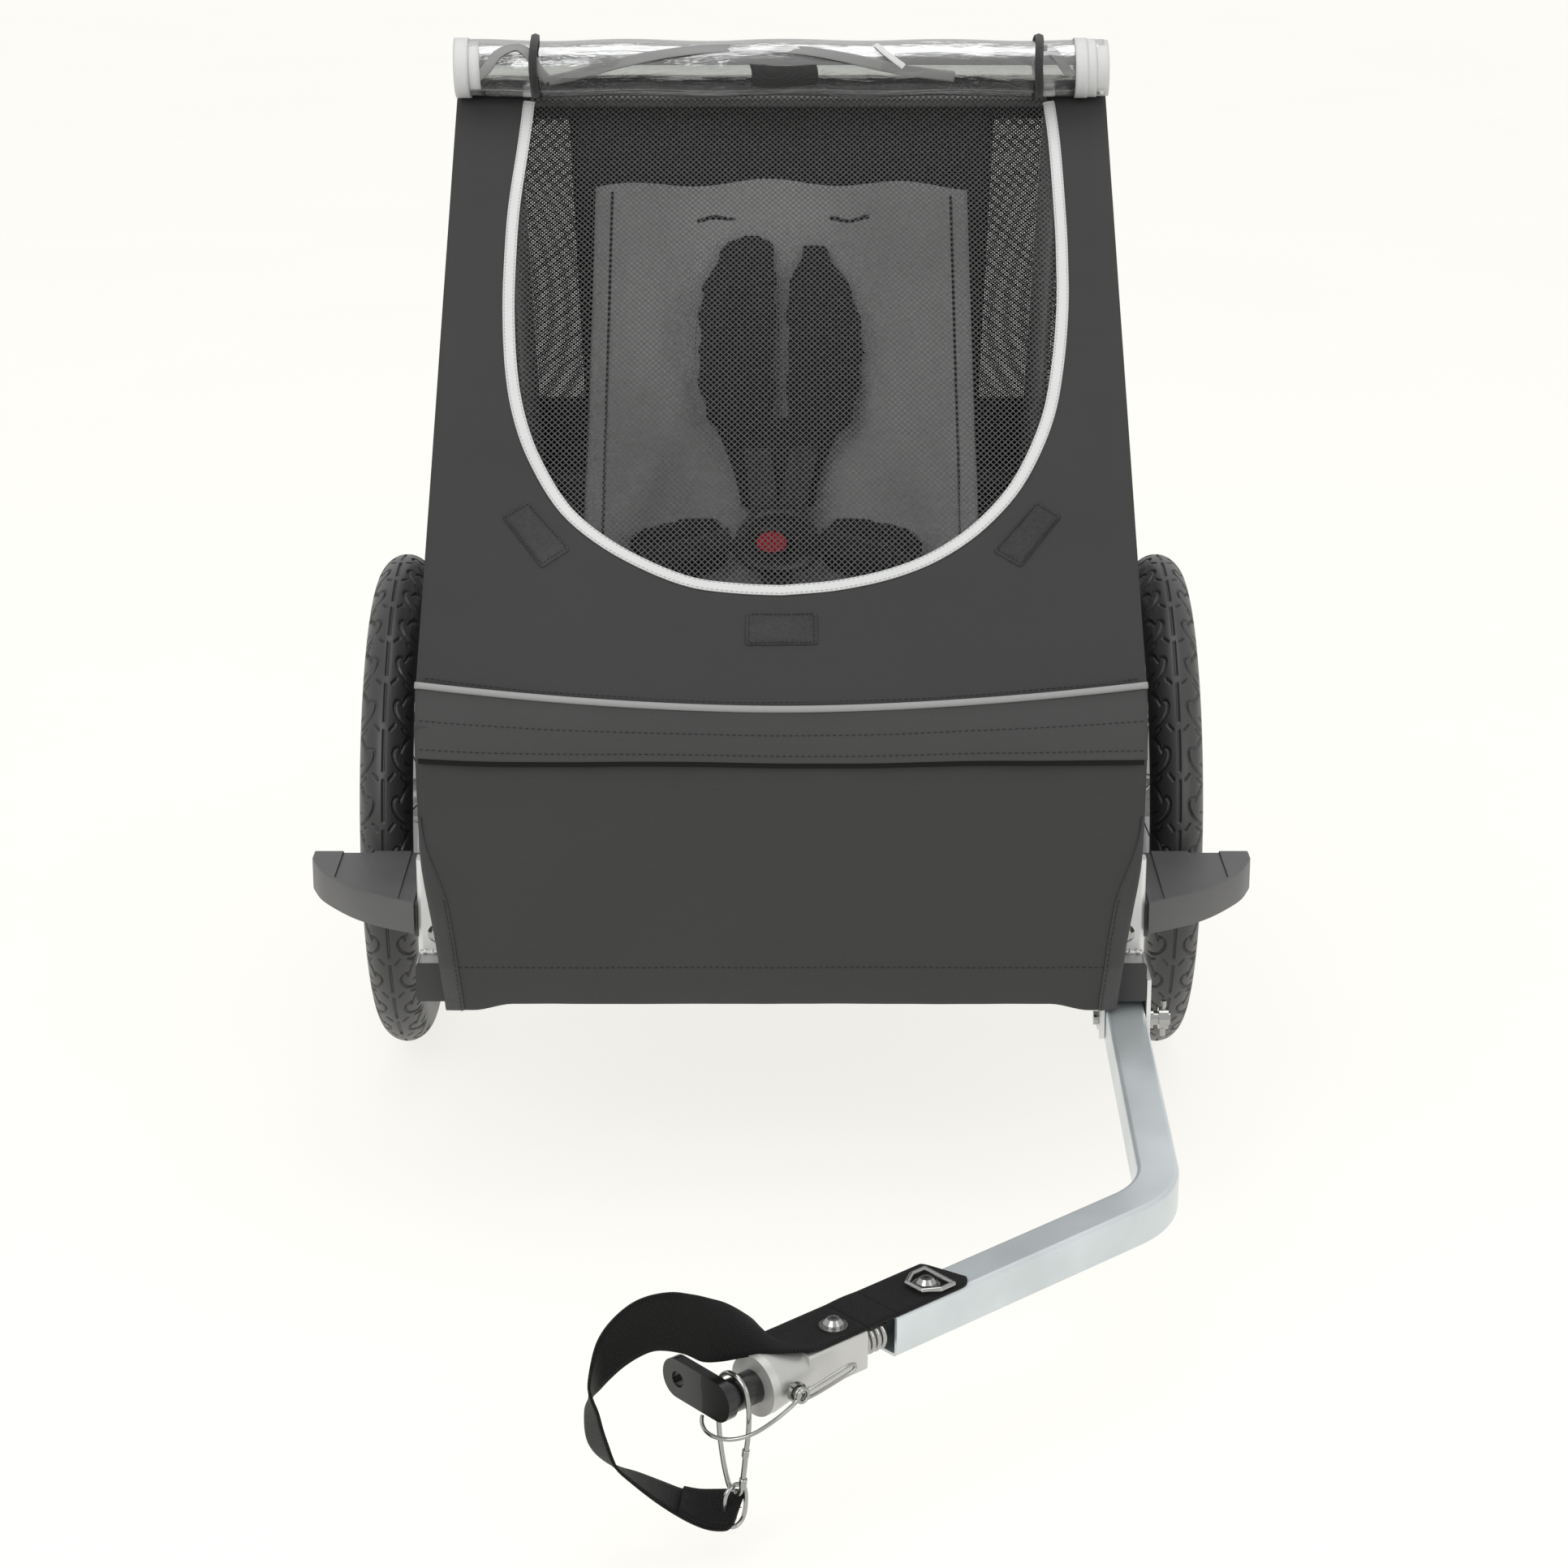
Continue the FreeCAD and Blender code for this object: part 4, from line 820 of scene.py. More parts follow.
def outer_point(x, up):
    """Point of the cover's outer edge that faces a point of the window edge."""
    side = 1 if x > 0 else -1
    if up > SIDE_FROM:
        share = (up - SIDE_FROM) / (WINDOW_TOP - SIDE_FROM)
        return side * HALF_WIDTH, share * (WINDOW_TOP - CORNER_UP) + CORNER_UP
    share = min(abs(x) / BELT_HALF, 1.0)
    if share > BELT_SHARE:
        corner = (share - BELT_SHARE) / (1 - BELT_SHARE)
        return side * HALF_WIDTH, CORNER_UP * corner * corner
    return side * HALF_WIDTH * share / BELT_SHARE, 0.0


def fade_above_corner(up):
    return 1 - min(max(up - CORNER_UP, 0) / 60.0, 1.0)


def build_cover_cloth():
    # the turned-in edge: inset from the side, lift off the surface
    turn = ((0.0, -4.0), (-0.3, -10.0), (-0.8, -18.0), (-1.5, -25.0))
    steps = 14
    vertices = []
    for x0, up0 in WINDOW_OUTLINE:
        x1, up1 = outer_point(x0, up0)
        for k in range(steps + 1):
            x, up = x0 + (x1 - x0) * k / steps, up0 + (up1 - up0) * k / steps
            edge = belt_edge(x)
            if up < CORNER_UP:
                up = edge + up * (WINDOW_TOP - edge) / WINDOW_TOP
            else:
                up += edge * fade_above_corner(up) * (WINDOW_TOP - CORNER_UP) / WINDOW_TOP
            vertices.append(on_cloth(x, up, -0.4 if k == 0 else 0))
        for inset, lift in turn:
            if abs(x1) >= HALF_WIDTH - 0.01:
                x = (HALF_WIDTH + inset) * (1 if x1 > 0 else -1)
                up = up1 + belt_edge(x1) * fade_above_corner(up1)
                vertices.append(on_cover(x, up, lift + 0.5 * uneven(up, lift, 2.2, 0.02)))
            else:
                point = on_cover(x1, belt_edge(x1), cover_sag(x1, 0))
                vertices.append(point + vec(0, 1.0, 0.096 * lift))
    data = vertices, quads(steps + 1 + len(turn), len(WINDOW_OUTLINE))
    thicken(add_mesh("front_cover_cloth", data, SHELL, "canopy", "shell_fabric",
                     ["front_cover"]), 1.1)


def build_roof_wrap():
    """Strip above the window that wraps over the crossbar to the rear."""
    lift = 0.6
    radius = COVER_LIFT + lift
    start = atan2(SLOPE_COS, -SLOPE_SIN)
    end = atan2(REAR_NORMAL.z, REAR_NORMAL.y)

    def surface(across, along):
        x = -HALF_WIDTH + 2 * HALF_WIDTH * across
        if along < 0.3:
            point = on_cover(x, 600 + (COVER_LENGTH - 600) * along / 0.3, lift)
        elif along < 0.7:
            angle = start + (end - start) * (along - 0.3) / 0.4
            point = vec(x, TOP_Y + radius * cos(angle), TOP_Z + radius * sin(angle))
        else:
            point = on_rear(x, 30 * (along - 0.7) / 0.3, radius)
        return point + vec(0, 0, 0.7 * uneven(x, along * 80, 6.6, 0.02))

    sheet("roof_wrap", surface, 90, 22, SHELL, 1.2, "canopy", "shell_fabric")


def build_front_window():
    edge = [on_cover(x, min(up, 588), cover_sag(x, up) + 0.4) for x, up in WINDOW_OUTLINE]
    beside = [run.cross(COVER_NORMAL).normalized() for run in tangents(edge)]

    def shifted(distance):
        return [point + out * distance for point, out in zip(edge, beside)]

    middle = 1.0
    ribbon("window_tape", shifted(middle), COVER_NORMAL, 9.4, 0.9, TAPE, "canopy", "tape_fabric",
           lift=0.3)
    sew("window_tape_stitches", [shifted(middle - 3.3), shifted(middle + 3.3)], COVER_NORMAL,
        (3.6, 2.3, 0.3, 1.25), LIGHT_THREAD, "canopy", "tape_fabric")

    right = sorted((up, x) for x, up in WINDOW_OUTLINE if x <= 0.5)
    left = sorted((up, x) for x, up in WINDOW_OUTLINE if x >= -0.5)

    def surface(across, along):
        up = 101 + (WINDOW_TOP + 5 - 101) * along ** 1.9
        start, end = interpolate(right, up), interpolate(left, up)
        return on_cloth(start + (end - start) * across, up, -0.6)

    sheet("window_mesh_cloth", surface, 50, 80, FRONT_MESH, 0.5, "canopy", "window_mesh",
          ["window_mesh"])


def build_belt_piping():
    cord = [on_cover(x, belt_edge(x), 2.0) + vec(0, -1.0, 0)
            for x in span(-HALF_WIDTH - 1, HALF_WIDTH + 1, 120)]
    add_mesh("belt_piping_cord", tube_data(cord, 2.5, 12), PIPING, "canopy", "tape_fabric")
    seam = [on_cover(x, belt_edge(x) + 6.5, cover_sag(x, 6) + 0.5) for x in span(-250, 250, 100)]
    sew("belt_seam_stitches", [seam], COVER_NORMAL, (4.2, 2.8, 0.28, 0.1), DARK_THREAD,
        "canopy", "shell_fabric")


# Hook-and-loop patches: name, corners as x and distance up from the belt
PATCHES = (
    ("right", ((-203.5, 166), (-185.5, 180.5), (-152.5, 135.5), (-172.4, 118))),
    ("left", ((153.4, 134.3), (187.1, 181), (204.5, 167), (172.7, 119.5))),
    ("centre", ((-25.8, 49), (26.2, 49.6), (26.0, 78.2), (-25.4, 78.0))),
)
# Section of a patch from its edge inwards: share of the outline, lift off the cloth
PATCH_LEVELS = ((1.0, 0.2), (0.985, 1.5), (0.9, 1.7), (0.84, 1.3), (0.8, 1.9), (0.4, 2.0))


def build_patches():
    for place, corners in PATCHES:
        name = "closure_patch_" + place
        corners = [Vector(corner) for corner in corners]
        ring = edge_ring(corners, 10, 0.04)
        middle = centre(corners)
        vertices = [on_cloth(*middle.lerp(point, share), lift)
                    for share, lift in PATCH_LEVELS for point in ring]
        size = len(ring)
        faces = quads(size, len(PATCH_LEVELS), ring=True)
        faces.append(tuple(range(len(vertices) - size, len(vertices))))
        faces.append(tuple(reversed(range(size))))
        add_mesh(name, (vertices, faces), HOOK_TAPE, "canopy", "webbing",
                 ["closure_patches"] if place == "right" else ())
        line = [on_cover(*middle.lerp(point, 0.9), cover_sag(*point) + 1.9)
                for point in ring + ring[:1]]
        sew(name + "_stitches", [line], COVER_NORMAL, (3.2, 2.2, 0.28, 0.05), DARK_THREAD,
            "canopy", "webbing")


# ------------------------------------------------------------------ belt flap
def build_belt_flap():
    """Flap that hangs from the belt."""
    def surface(across, along):
        x = (-HALF_WIDTH - 0.6) + (2 * HALF_WIDTH + 1.2) * across
        top = on_cover(x, belt_edge(x), 0.5) + vec(0, -1.5, -1.0)
        bottom = vec(x, -401.0 - 1.2 * sin(across * 9.0),
                     353.0 + 3.0 * (abs(x) / HALF_WIDTH) ** 2 - 0.8 * sin(across * 14))
        point = top.lerp(bottom, along)
        point.y -= 2.6 * sin(pi * along) + 0.9 * uneven(x, along * 60, 9.0, 0.02)
        if along > 0.94:
            point.y -= 0.5
        return point

    flap = sheet("belt_flap", surface, 130, 24, FLAP_PAINTED_LIGHTER, 2.2, None, "shell_fabric")
    # a dark strip just behind and below the flap's lower edge: painted shadow of the flap on the panel
    # beneath
    hem = [surface(i / 240, 0.985) + vec(0, 2.6, -2.4) for i in range(1, 240)]
    shadow_strip = add_mesh("belt_flap_painted_shadow_strip",
                         ribbon_data(hem, vec(0, -1, -0.5), 7.0, 1.2, crown=0.2),
                         FLAP_EDGE_PAINTED_SHADOW, None, "shell_fabric")
    seams = [[surface(i / 120, along) + vec(0, -1.5, 0) for i in range(1, 120)]
             for along in (0.44, 0.86)]
    stitches = sew("belt_flap_stitches", seams, vec(0, -1, 0.1), (4.4, 2.9, 0.26, 0.0),
                   DARK_THREAD, None, "shell_fabric")
    for item in (flap, shadow_strip, stitches):
        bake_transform(item)


# ------------------------------------------------------------------ lower front panel
# z, half width of the panel
LOWER_WIDTHS = (
    (150, 243.5), (165, 244), (185, 245.5), (208, 247.6), (225, 249.8), (242, 252.2),
    (256, 254.4), (270, 256.2), (285, 257.2), (305, 257.6), (330, 257.8), (400, 257.6))
CREASE = 0.8          # share of the rows above the crease where the panel turns under
CREASE_Z = 193


def lower_front(across, along):
    out = 2 * across - 1
    if along < CREASE:
        share = along / CREASE
        z = 378 - (378 - CREASE_Z) * share
        y = -384 - 11.0 * (z - CREASE_Z) / 185.0
        y += 2.0 * sin(pi * share) * (1 - out * out)
    else:
        share = (along - CREASE) / (1 - CREASE)
        corner = min(1.0, max(abs(out) - 0.80, 0) / 0.12)
        z = CREASE_Z - 33 * share - 5.0 * smoothstep(corner) * share
        y = -384 + 9.0 * share + 5 * share * share
    x = out * interpolate(LOWER_WIDTHS, z)
    y += 1.0 * uneven(x, z, 3.0, 0.012) + 0.5 * uneven(x, z, 7.0, 0.04)
    y += 1.3 * exp(-((1 - abs(out)) / 0.05) ** 2) * sin(z * 0.045)
    return vec(x, y, z)


def build_lower_front():
    sheet("front_lower_cloth", lower_front, 110, 80, LOWER_SHELL_PAINTED_LIGHTER, 1.4, "base", "shell_fabric",
          ["front_lower_panel"])
    for side, hand in SIDES:
        outer, inner = [], []
        for k in range(24, 81):
            width = 1.5 + 11.5 * smoothstep(min(1.0, (k - 24) / 24.0))
            outer.append(lower_front(0.5 + side * 0.5, k / 80) + vec(0, -1.3, 0))
            inner.append(lower_front(0.5 + side * 0.5 * (1 - width / 245.0), k / 80)
                         + vec(0, -1.5, 0))
        band_between("edge_binding_" + hand, outer, inner, 0.9, BINDING, "base", "webbing",
                     rows=3)
        sew("edge_binding_stitches_" + hand,
            [[point + vec(side * 1.6, -0.8, 0) for point in inner[22:]]],
            vec(0, -1, 0.05), (4.2, 2.8, 0.26, 0.1), DARK_THREAD, "base", "webbing")

        def edge_return(across, along):
            point = lower_front(0.5 + side * 0.5, along)
            return point + vec(-side * 5.0 * across, 34 * across, 0)

        sheet("front_return_" + hand, edge_return, 6, 40, BINDING, 1.2, "base", "shell_fabric")
    crease = [lower_front(i / 100, CREASE) + vec(0, -1.0, 0) for i in range(3, 98)]
    sew("lower_crease_stitches", [crease], vec(0, -1, -0.4), (4.4, 2.8, 0.24, 0.0), DARK_THREAD,
        "base", "shell_fabric")


# ------------------------------------------------------------------ lower side panels
# Edge of the notch over the axle: y, z
AXLE_NOTCH = ((-18, 189), (-18, 204), (-13, 213), (0, 216.5), (13, 213), (18, 204), (18, 189))


def build_lower_side(side, hand):
    outward = vec(side, 0, 0)

    def upper(across, along):
        z = 258 + (389 - 258) * along
        front = -384 + 44 * max(0.0, 1 - along * 2.1) ** 1.2
        y = front + (352 - front) * across
        bulge = 0.8 * sin(pi * along) * sin(pi * across)
        return vec(side * (256.4 + bulge + 0.8 * uneven(y, z, 11 + side, 0.012)), y, z)

    def lower(across, along):
        z = 188 + (259 - 188) * along
        y = -331 + (352 + 331) * across
        return vec(side * (256.4 + 0.4 * uneven(y, z, 15 + side, 0.012)), y, z)

    def pocket(across, along):
        y = -205 + 180 * across
        z = 236 + 136 * along
        bulge = 9.0 * sin(pi * across) * (0.35 + 0.65 * along)
        return vec(side * (251.5 - bulge - 0.8 * uneven(y, z, 21.0, 0.03)), y, z)

    def in_notch(face):
        middle = centre([vertices[i] for i in face])
        return abs(middle.y) < 17.0 and middle.z < 214

    sheet("side_lower_upper_" + hand, upper, 90, 18, LOWER_SHELL_PAINTED_LIGHTER, 1.1, "base", "shell_fabric",
          ["side_panels_lower"] if side > 0 else ())
    vertices, faces = grid(lower, 137, 15)
    data = vertices, [face for face in faces if not in_notch(face)]
    thicken(add_mesh("side_lower_cloth_" + hand, data, LOWER_SHELL_PAINTED_LIGHTER, "base", "shell_fabric"), 1.1)
    notch = spline([(side * 257.4, y, z) for y, z in AXLE_NOTCH], 6)
    ribbon("axle_notch_binding_" + hand, notch, outward, 7.0, 0.9, BINDING, "base", "webbing",
           lift=0.2)
    hems = (("front", [-331 + 683 * i / 60 for i in range(28)]), ("rear", span(20, 351, 40)))
    for place, stations in hems:
        ribbon("side_hem_%s_%s" % (place, hand), [vec(side * 257.3, y, 191.5) for y in stations],
               outward, 9.0, 0.8, BINDING, "base", "webbing", lift=0.2)
    belt = [vec(side * 257.6, y, 386.5) for y in span(-383, 352, 80)]
    ribbon("side_belt_tape_" + hand, belt, outward, 10.0, 0.9, TAPE, "base", "tape_fabric",
           lift=0.3)
    # pocket inside the cabin
    sheet("side_pocket_" + hand, pocket, 24, 18, POCKET, 1.6, "base", "shell_fabric")


# ------------------------------------------------------------------ wheel guards
GUARD_BOTTOM, GUARD_TOP, GUARD_BACK, GUARD_OUTER = 203.0, 227.0, -220.0, 355.0
# Front edge: x, y
GUARD_FRONT = sorted((x, y) for x, y in spline([
    (GUARD_OUTER, -232.0), (354.6, -237.5), (352.6, -245.5), (344.9, -266.4), (330.8, -288.8),
    (314.7, -309.0), (295.6, -325.4), (268.4, -341.5)], 14))
# x of the columns: an even spread, with extra ones at the recesses and the outer edge
GUARD_COLUMNS = sorted(set(
    [268.4 + 2.1 * k for k in range(40)]
    + [271.4, 272.1, 280.3, 281.0, 309.0, 309.7, 332.3, 333.0]
    + [352.6, 353.2, 353.8, 354.3, 354.7, 354.9]))
# Rows close to the front edge and to the back edge, as distances from them
FRONT_ROWS = (0.0, 0.3, 0.7, 1.2, 1.8, 2.6, 3.6, 4.4, 5.2)
BACK_ROWS = (-1.9, -1.2, -0.6, -0.2, 0.0)
# Rim and hollow underside: share of the outline, z
GUARD_RIM = ((1.0, GUARD_BOTTOM + 0.8), (0.992, GUARD_BOTTOM), (0.945, GUARD_BOTTOM),
             (0.94, GUARD_BOTTOM + 1.0), (0.94, GUARD_TOP - 3.6))
# Plate that the bracket bolt goes through: y, z
GUARD_LUG = ((-334, 199), (-333, 198), (-305, 198), (-304, 199), (-304, 223), (-305, 224),
             (-333, 224), (-334, 223))


def round_drop(distance, radius=1.8):
    """How far a rounded edge lies below the flat at a distance from the edge."""
    if distance >= radius:
        return 0.0
    return radius - sqrt(max(radius * radius - (radius - distance) ** 2, 0.0))


def guard_column(x):
    """(y, z) of the top surface along one column, front to back."""
    front = interpolate(GUARD_FRONT, x)
    start = front + FRONT_ROWS[-1]
    stations = [front + k for k in FRONT_ROWS]
    stations += span(start, GUARD_BACK + BACK_ROWS[0], 10)[1:]
    stations += [GUARD_BACK + k for k in BACK_ROWS[1:]]
    column = []
    for y in stations:
        from_front = (y - front) * 0.72
        drop = max(round_drop(from_front), round_drop(GUARD_OUTER - x),
                   round_drop(GUARD_BACK - y))
        # two shallow recesses run back from the front edge
        recess = max(min(x - 309.0, 333.0 - x), min(x - 271.4, 281.0 - x))
        recess = min(recess, from_front - 2.6)
        drop += 1.4 * max(0.0, min(recess / 0.6, 1.0))
        column.append((y, GUARD_TOP - drop))
    return column


def build_wheel_guard(side, hand):
    vertices = [vec(side * x, y, z) for x in GUARD_COLUMNS for y, z in guard_column(x)]
    columns = len(GUARD_COLUMNS)
    rows = len(vertices) // columns
    faces = quads(rows, columns)
    outline = [i * rows for i in range(columns)]
    outline += [(columns - 1) * rows + j for j in range(1, rows)]
    outline += [i * rows + rows - 1 for i in range(columns - 2, -1, -1)]
    outline += list(range(rows - 2, 0, -1))
    middle_x, middle_y = side * 306, -264
    previous = outline
    for share, z in GUARD_RIM:
        current = list(range(len(vertices), len(vertices) + len(outline)))
        vertices += [vec(middle_x + (vertices[k].x - middle_x) * share,
                         middle_y + (vertices[k].y - middle_y) * share, z) for k in outline]
        for k in range(len(outline)):
            after = (k + 1) % len(outline)
            faces.append((previous[k], previous[after], current[after], current[k]))
        previous = current
    faces.append(tuple(previous))
    start = len(vertices)
    vertices += [vec(side * x, y, z) for x in (266.4, 268.9) for y, z in GUARD_LUG]
    faces += quads(8, 2, ring=True, start=start)
    faces.append(tuple(range(start, start + 8)))
    faces.append(tuple(range(start + 15, start + 7, -1)))
    guard = add_mesh("wheel_guard_" + hand, (vertices, faces), DARK_PLASTIC, "base",
                     "dark_plastic", ["wheel_guards"] if side > 0 else ())
    edit = bmesh.new()
    edit.from_mesh(guard.data)
    bmesh.ops.recalc_face_normals(edit, faces=edit.faces)
    edit.to_mesh(guard.data)
    edit.free()
    guard.data.set_sharp_from_angle(angle=radians(38))


# ------------------------------------------------------------------ rear wall and floor
def build_rear_wall_and_floor():
    def wall(across, along):
        x = -HALF_WIDTH + 2 * HALF_WIDTH * across
        z = 150 + (388 - 150) * along
        bulge = 2.0 * sin(pi * across) * sin(pi * along)
        return vec(x, 353.2 + 1.2 * uneven(x, z, 31.0, 0.012) + bulge, z)

    def sill(across, along):
        x = -236 + 472 * across
        return vec(x, 355.4 - 2.0 * along + 0.4 * sin(x * 0.05), 380 + 20 * along)

    def floor(across, along):
        x = -231 + 462 * across
        y = -366 + 716 * along
        return vec(x, y, 187.9 + 0.25 * uneven(x, y, 41.0, 0.02))

    sheet("rear_wall_cloth", wall, 70, 34, LOWER_SHELL_PAINTED_LIGHTER, 1.5, "base", "shell_fabric",
          ["rear_wall"])
    sheet("rear_sill_cloth", sill, 40, 5, LOWER_SHELL_PAINTED_LIGHTER, 1.3, "base", "shell_fabric")
    for place, along in (("upper", 0.93), ("lower", 0.06)):
        points = [wall(i / 70, along) + vec(0, 0.8, 0) for i in range(71)]
        ribbon("rear_wall_tape_" + place, points, vec(0, 1, 0), 10.0, 0.9, BINDING, "base",
               "webbing", lift=0.2)
    sheet("tub_floor_cloth", floor, 46, 70, POCKET, 1.6, "base", "shell_fabric", ["tub_floor"])


# ------------------------------------------------------------------ upper side windows
def build_upper_sides():
    """Triangular side cloths with a rounded mesh window in each, drawn in y and z."""
    belt, crossbar = on_cover(0, 6, -4.0), on_cover(0, COVER_LENGTH, -4.0)
    foot = on_rear(0, REAR_LENGTH - 2, 12.6)
    bottom = 388.5
    outer = rounded_ring([Vector((belt.y + 4, bottom)), Vector((crossbar.y - 2, crossbar.z - 2)),
                          Vector((foot.y - 1, bottom))], 3.0)
    inner = rounded_ring([Vector((-262, 416)), Vector((96, 694)), Vector((292, 416))], 26.0)
    count = len(inner)
    middle = centre(inner)
    rings, mesh_rings = 8, 10
    for side, hand in SIDES:
        def at(point, lift=0.0):
            y, z = point
            dip = 1.6 * exp(-((z - 560) / 120.0) ** 2)
            x = 256.0 - dip + 0.8 * uneven(y, z, 51 + side, 0.014)
            return vec(side * (x + lift), y, z)

        vertices = [at(a.lerp(b, k / rings)) for k in range(rings + 1)
                    for a, b in zip(inner, outer)]
        data = vertices, quads(count, rings + 1, ring=True)
        cloth = add_mesh("side_upper_cloth_" + hand, data, SHELL, "base", "shell_fabric",
                         ["side_windows"] if side > 0 else ())
        fold(thicken(cloth, 1.1))

        vertices = [at(middle)] + [at(middle.lerp(point, k / mesh_rings), -0.4)
                                   for k in range(1, mesh_rings + 1) for point in inner]
        faces = fan(count) + flipped(quads(count, mesh_rings, ring=True, start=1))
        fold(add_mesh("side_window_mesh_" + hand, (vertices, faces), SIDE_MESH, "base",
                      "window_mesh"))
        fold(ribbon("side_window_tape_" + hand, [at(point, 0.4) for point in inner],
                    vec(side, 0, 0), 9.0, 0.8, TAPE, "base", "tape_fabric",
                    closed=True, lift=0.2))


# ------------------------------------------------------------------ upper rear panel
# The two mesh windows: limits of |x|, limits of the distance down from the crossbar
REAR_WINDOW_X = (168, 244)
REAR_WINDOW_DOWN = (34, REAR_LENGTH - 84)


def rear_surface(x, down):
    wave = 1.2 * uneven(x, down, 61.0, 0.012)
    return on_rear(x, down, REAR_LIFT) + vec(0, REAR_NORMAL.y * wave, 0)


def build_upper_rear():
    columns, rows = 128, 90

    def place(across, along):
        return -HALF_WIDTH + 2 * HALF_WIDTH * across, 2 + (REAR_LENGTH - 4) * along

    def in_window(face):
        row, column = divmod(face[0], columns + 1)
        x, down = place((column + 0.5) / columns, (row + 0.5) / rows)
        return (REAR_WINDOW_X[0] < abs(x) < REAR_WINDOW_X[1]
                and REAR_WINDOW_DOWN[0] < down < REAR_WINDOW_DOWN[1])

    vertices, faces = grid(lambda across, along: rear_surface(*place(across, along)),
                           columns, rows)
    for name, windows, material, thickness, slot, replaced in (
            ("rear_upper_cloth", False, SHELL, 1.2, "shell_fabric", ["rear_upper_panel"]),
            ("rear_window_mesh", True, REAR_MESH, 0.5, "window_mesh", ())):
        kept = [face for face in faces if in_window(face) == windows]
        used = sorted({i for face in kept for i in face})
        index = {i: k for k, i in enumerate(used)}
        data = [vertices[i] for i in used], [tuple(index[i] for i in face) for face in kept]
        item = add_mesh(name, data, material, "base", slot, replaced)
        fold(thicken(item, thickness))

    top, bottom = REAR_WINDOW_DOWN
    for side, hand in SIDES:
        inner, outer = side * REAR_WINDOW_X[0], side * REAR_WINDOW_X[1]
        corners = [Vector(corner) for corner in
                   ((inner, top), (outer, top), (outer, bottom), (inner, bottom))]
        points = [rear_surface(*point) + REAR_NORMAL * 0.5
                  for point in edge_ring(corners, 14, 0.03)]
        fold(ribbon("rear_window_tape_" + hand, points, REAR_NORMAL, 9.0, 0.8, TAPE, "base",
                    "tape_fabric", closed=True, lift=0.2))

    # the side edges are turned round the corner and sewn to the side cloths
    for side, hand in SIDES:
        def hem(across, along):
            return on_rear(side * (257.5 + 0.25 * sin(along * 23.0)),
                           1 + (REAR_LENGTH - 3) * along, REAR_LIFT * (1 - 1.2 * across))
        fold(sheet("rear_edge_hem_" + hand, hem, 4, 70, SHELL, 1.0, "base", "shell_fabric"))


# ------------------------------------------------------------------ rolled-up rain cover
# Rolled sheets: name, columns round, radius, turns, half length, start angle, replaced
ROLL_SHEETS = (
    ("outer", 40, 22.6, 1.02, 254, 3.9, ["rain_cover_roll"]),
    ("inner", 44, 18.6, 1.35, 252, 0.7, ()),
)
# Tape bands round the ends: name, start x, end x, radius, skew
ROLL_BANDS = (
    ("right_a", -257.5, -246, 23.0, 2.5), ("right_b", -256, -237, 21.2, 4.0),
    ("right_c", -255, -240, 18.0, 0.0), ("left_a", 231, 241, 22.9, 2.5),
    ("left_b", 238, 248, 22.2, 3.0), ("left_c", 246, 257.5, 21.4, 3.0),
    ("left_d", 244, 257, 18.5, 0.0),
)
# Strips seen through the sheet: name, width, radius, material, (x, degrees round the roll)
ROLL_STRIPS = (
    ("roll_border_arc", 8.5, 20.6, GREY_STRIP, (
        (-183, 203), (-168, 194), (-151, 182), (-126, 163), (-88, 141), (-51, 129), (-14, 128),
        (16, 134), (46, 149), (76, 168), (100, 181), (136, 194))),
    ("roll_border_end", 8.0, 20.6, GREY_STRIP, (
        (-240, 196), (-232, 178), (-222, 142), (-208, 124), (-197, 148), (-190, 182),
        (-183, 203))),
    ("roll_border_left_end", 7.5, 20.6, GREY_STRIP, (
        (206, 124), (214, 140), (221, 168), (228, 196))),
    ("roll_pinch_fold", 5.0, 21.6, TAPE, ((74, 118), (80, 138), (88, 156), (96, 172))),
)


def outward(angle):
    return vec(0, cos(angle), sin(angle))


def build_roll_sheets():
    for place, rows, radius, turns, half, phase, replaced in ROLL_SHEETS:
        def surface(across, along):
            x = -half + 2 * half * across
            angle = phase + 2 * pi * turns * along
            wobble = 0.035 * sin(x * 0.05 + angle) + 0.02 * uneven(x, angle * 30, 71.0, 0.02)
            return on_roll(x, angle, (radius - 2.2 * along * turns) * (1 + wobble))
        sheet("rain_cover_sheet_" + place, surface, 90, rows, VINYL, 0.5, "canopy",
              "clear_vinyl", replaced)


def build_roll_tapes():
    for place, start, end, radius, skew in ROLL_BANDS:
        def surface(across, along):
            angle = 2 * pi * along
            x = start + (end - start) * across + skew * (along - 0.5)
            return on_roll(x, angle, radius * (1 + 0.01 * sin(3 * angle)))
        sheet("roll_tape_" + place, surface, 4, 64, TAPE, 0.9, "canopy", "tape_fabric")
    for name, width, radius, material, table in ROLL_STRIPS:
        path = [(x, radians(angle)) for x, angle in spline(table)]
        ribbon(name, [on_roll(x, angle, radius) for x, angle in path],
               [outward(angle) for _, angle in path], width, 0.6, material, "canopy",
               "tape_fabric")


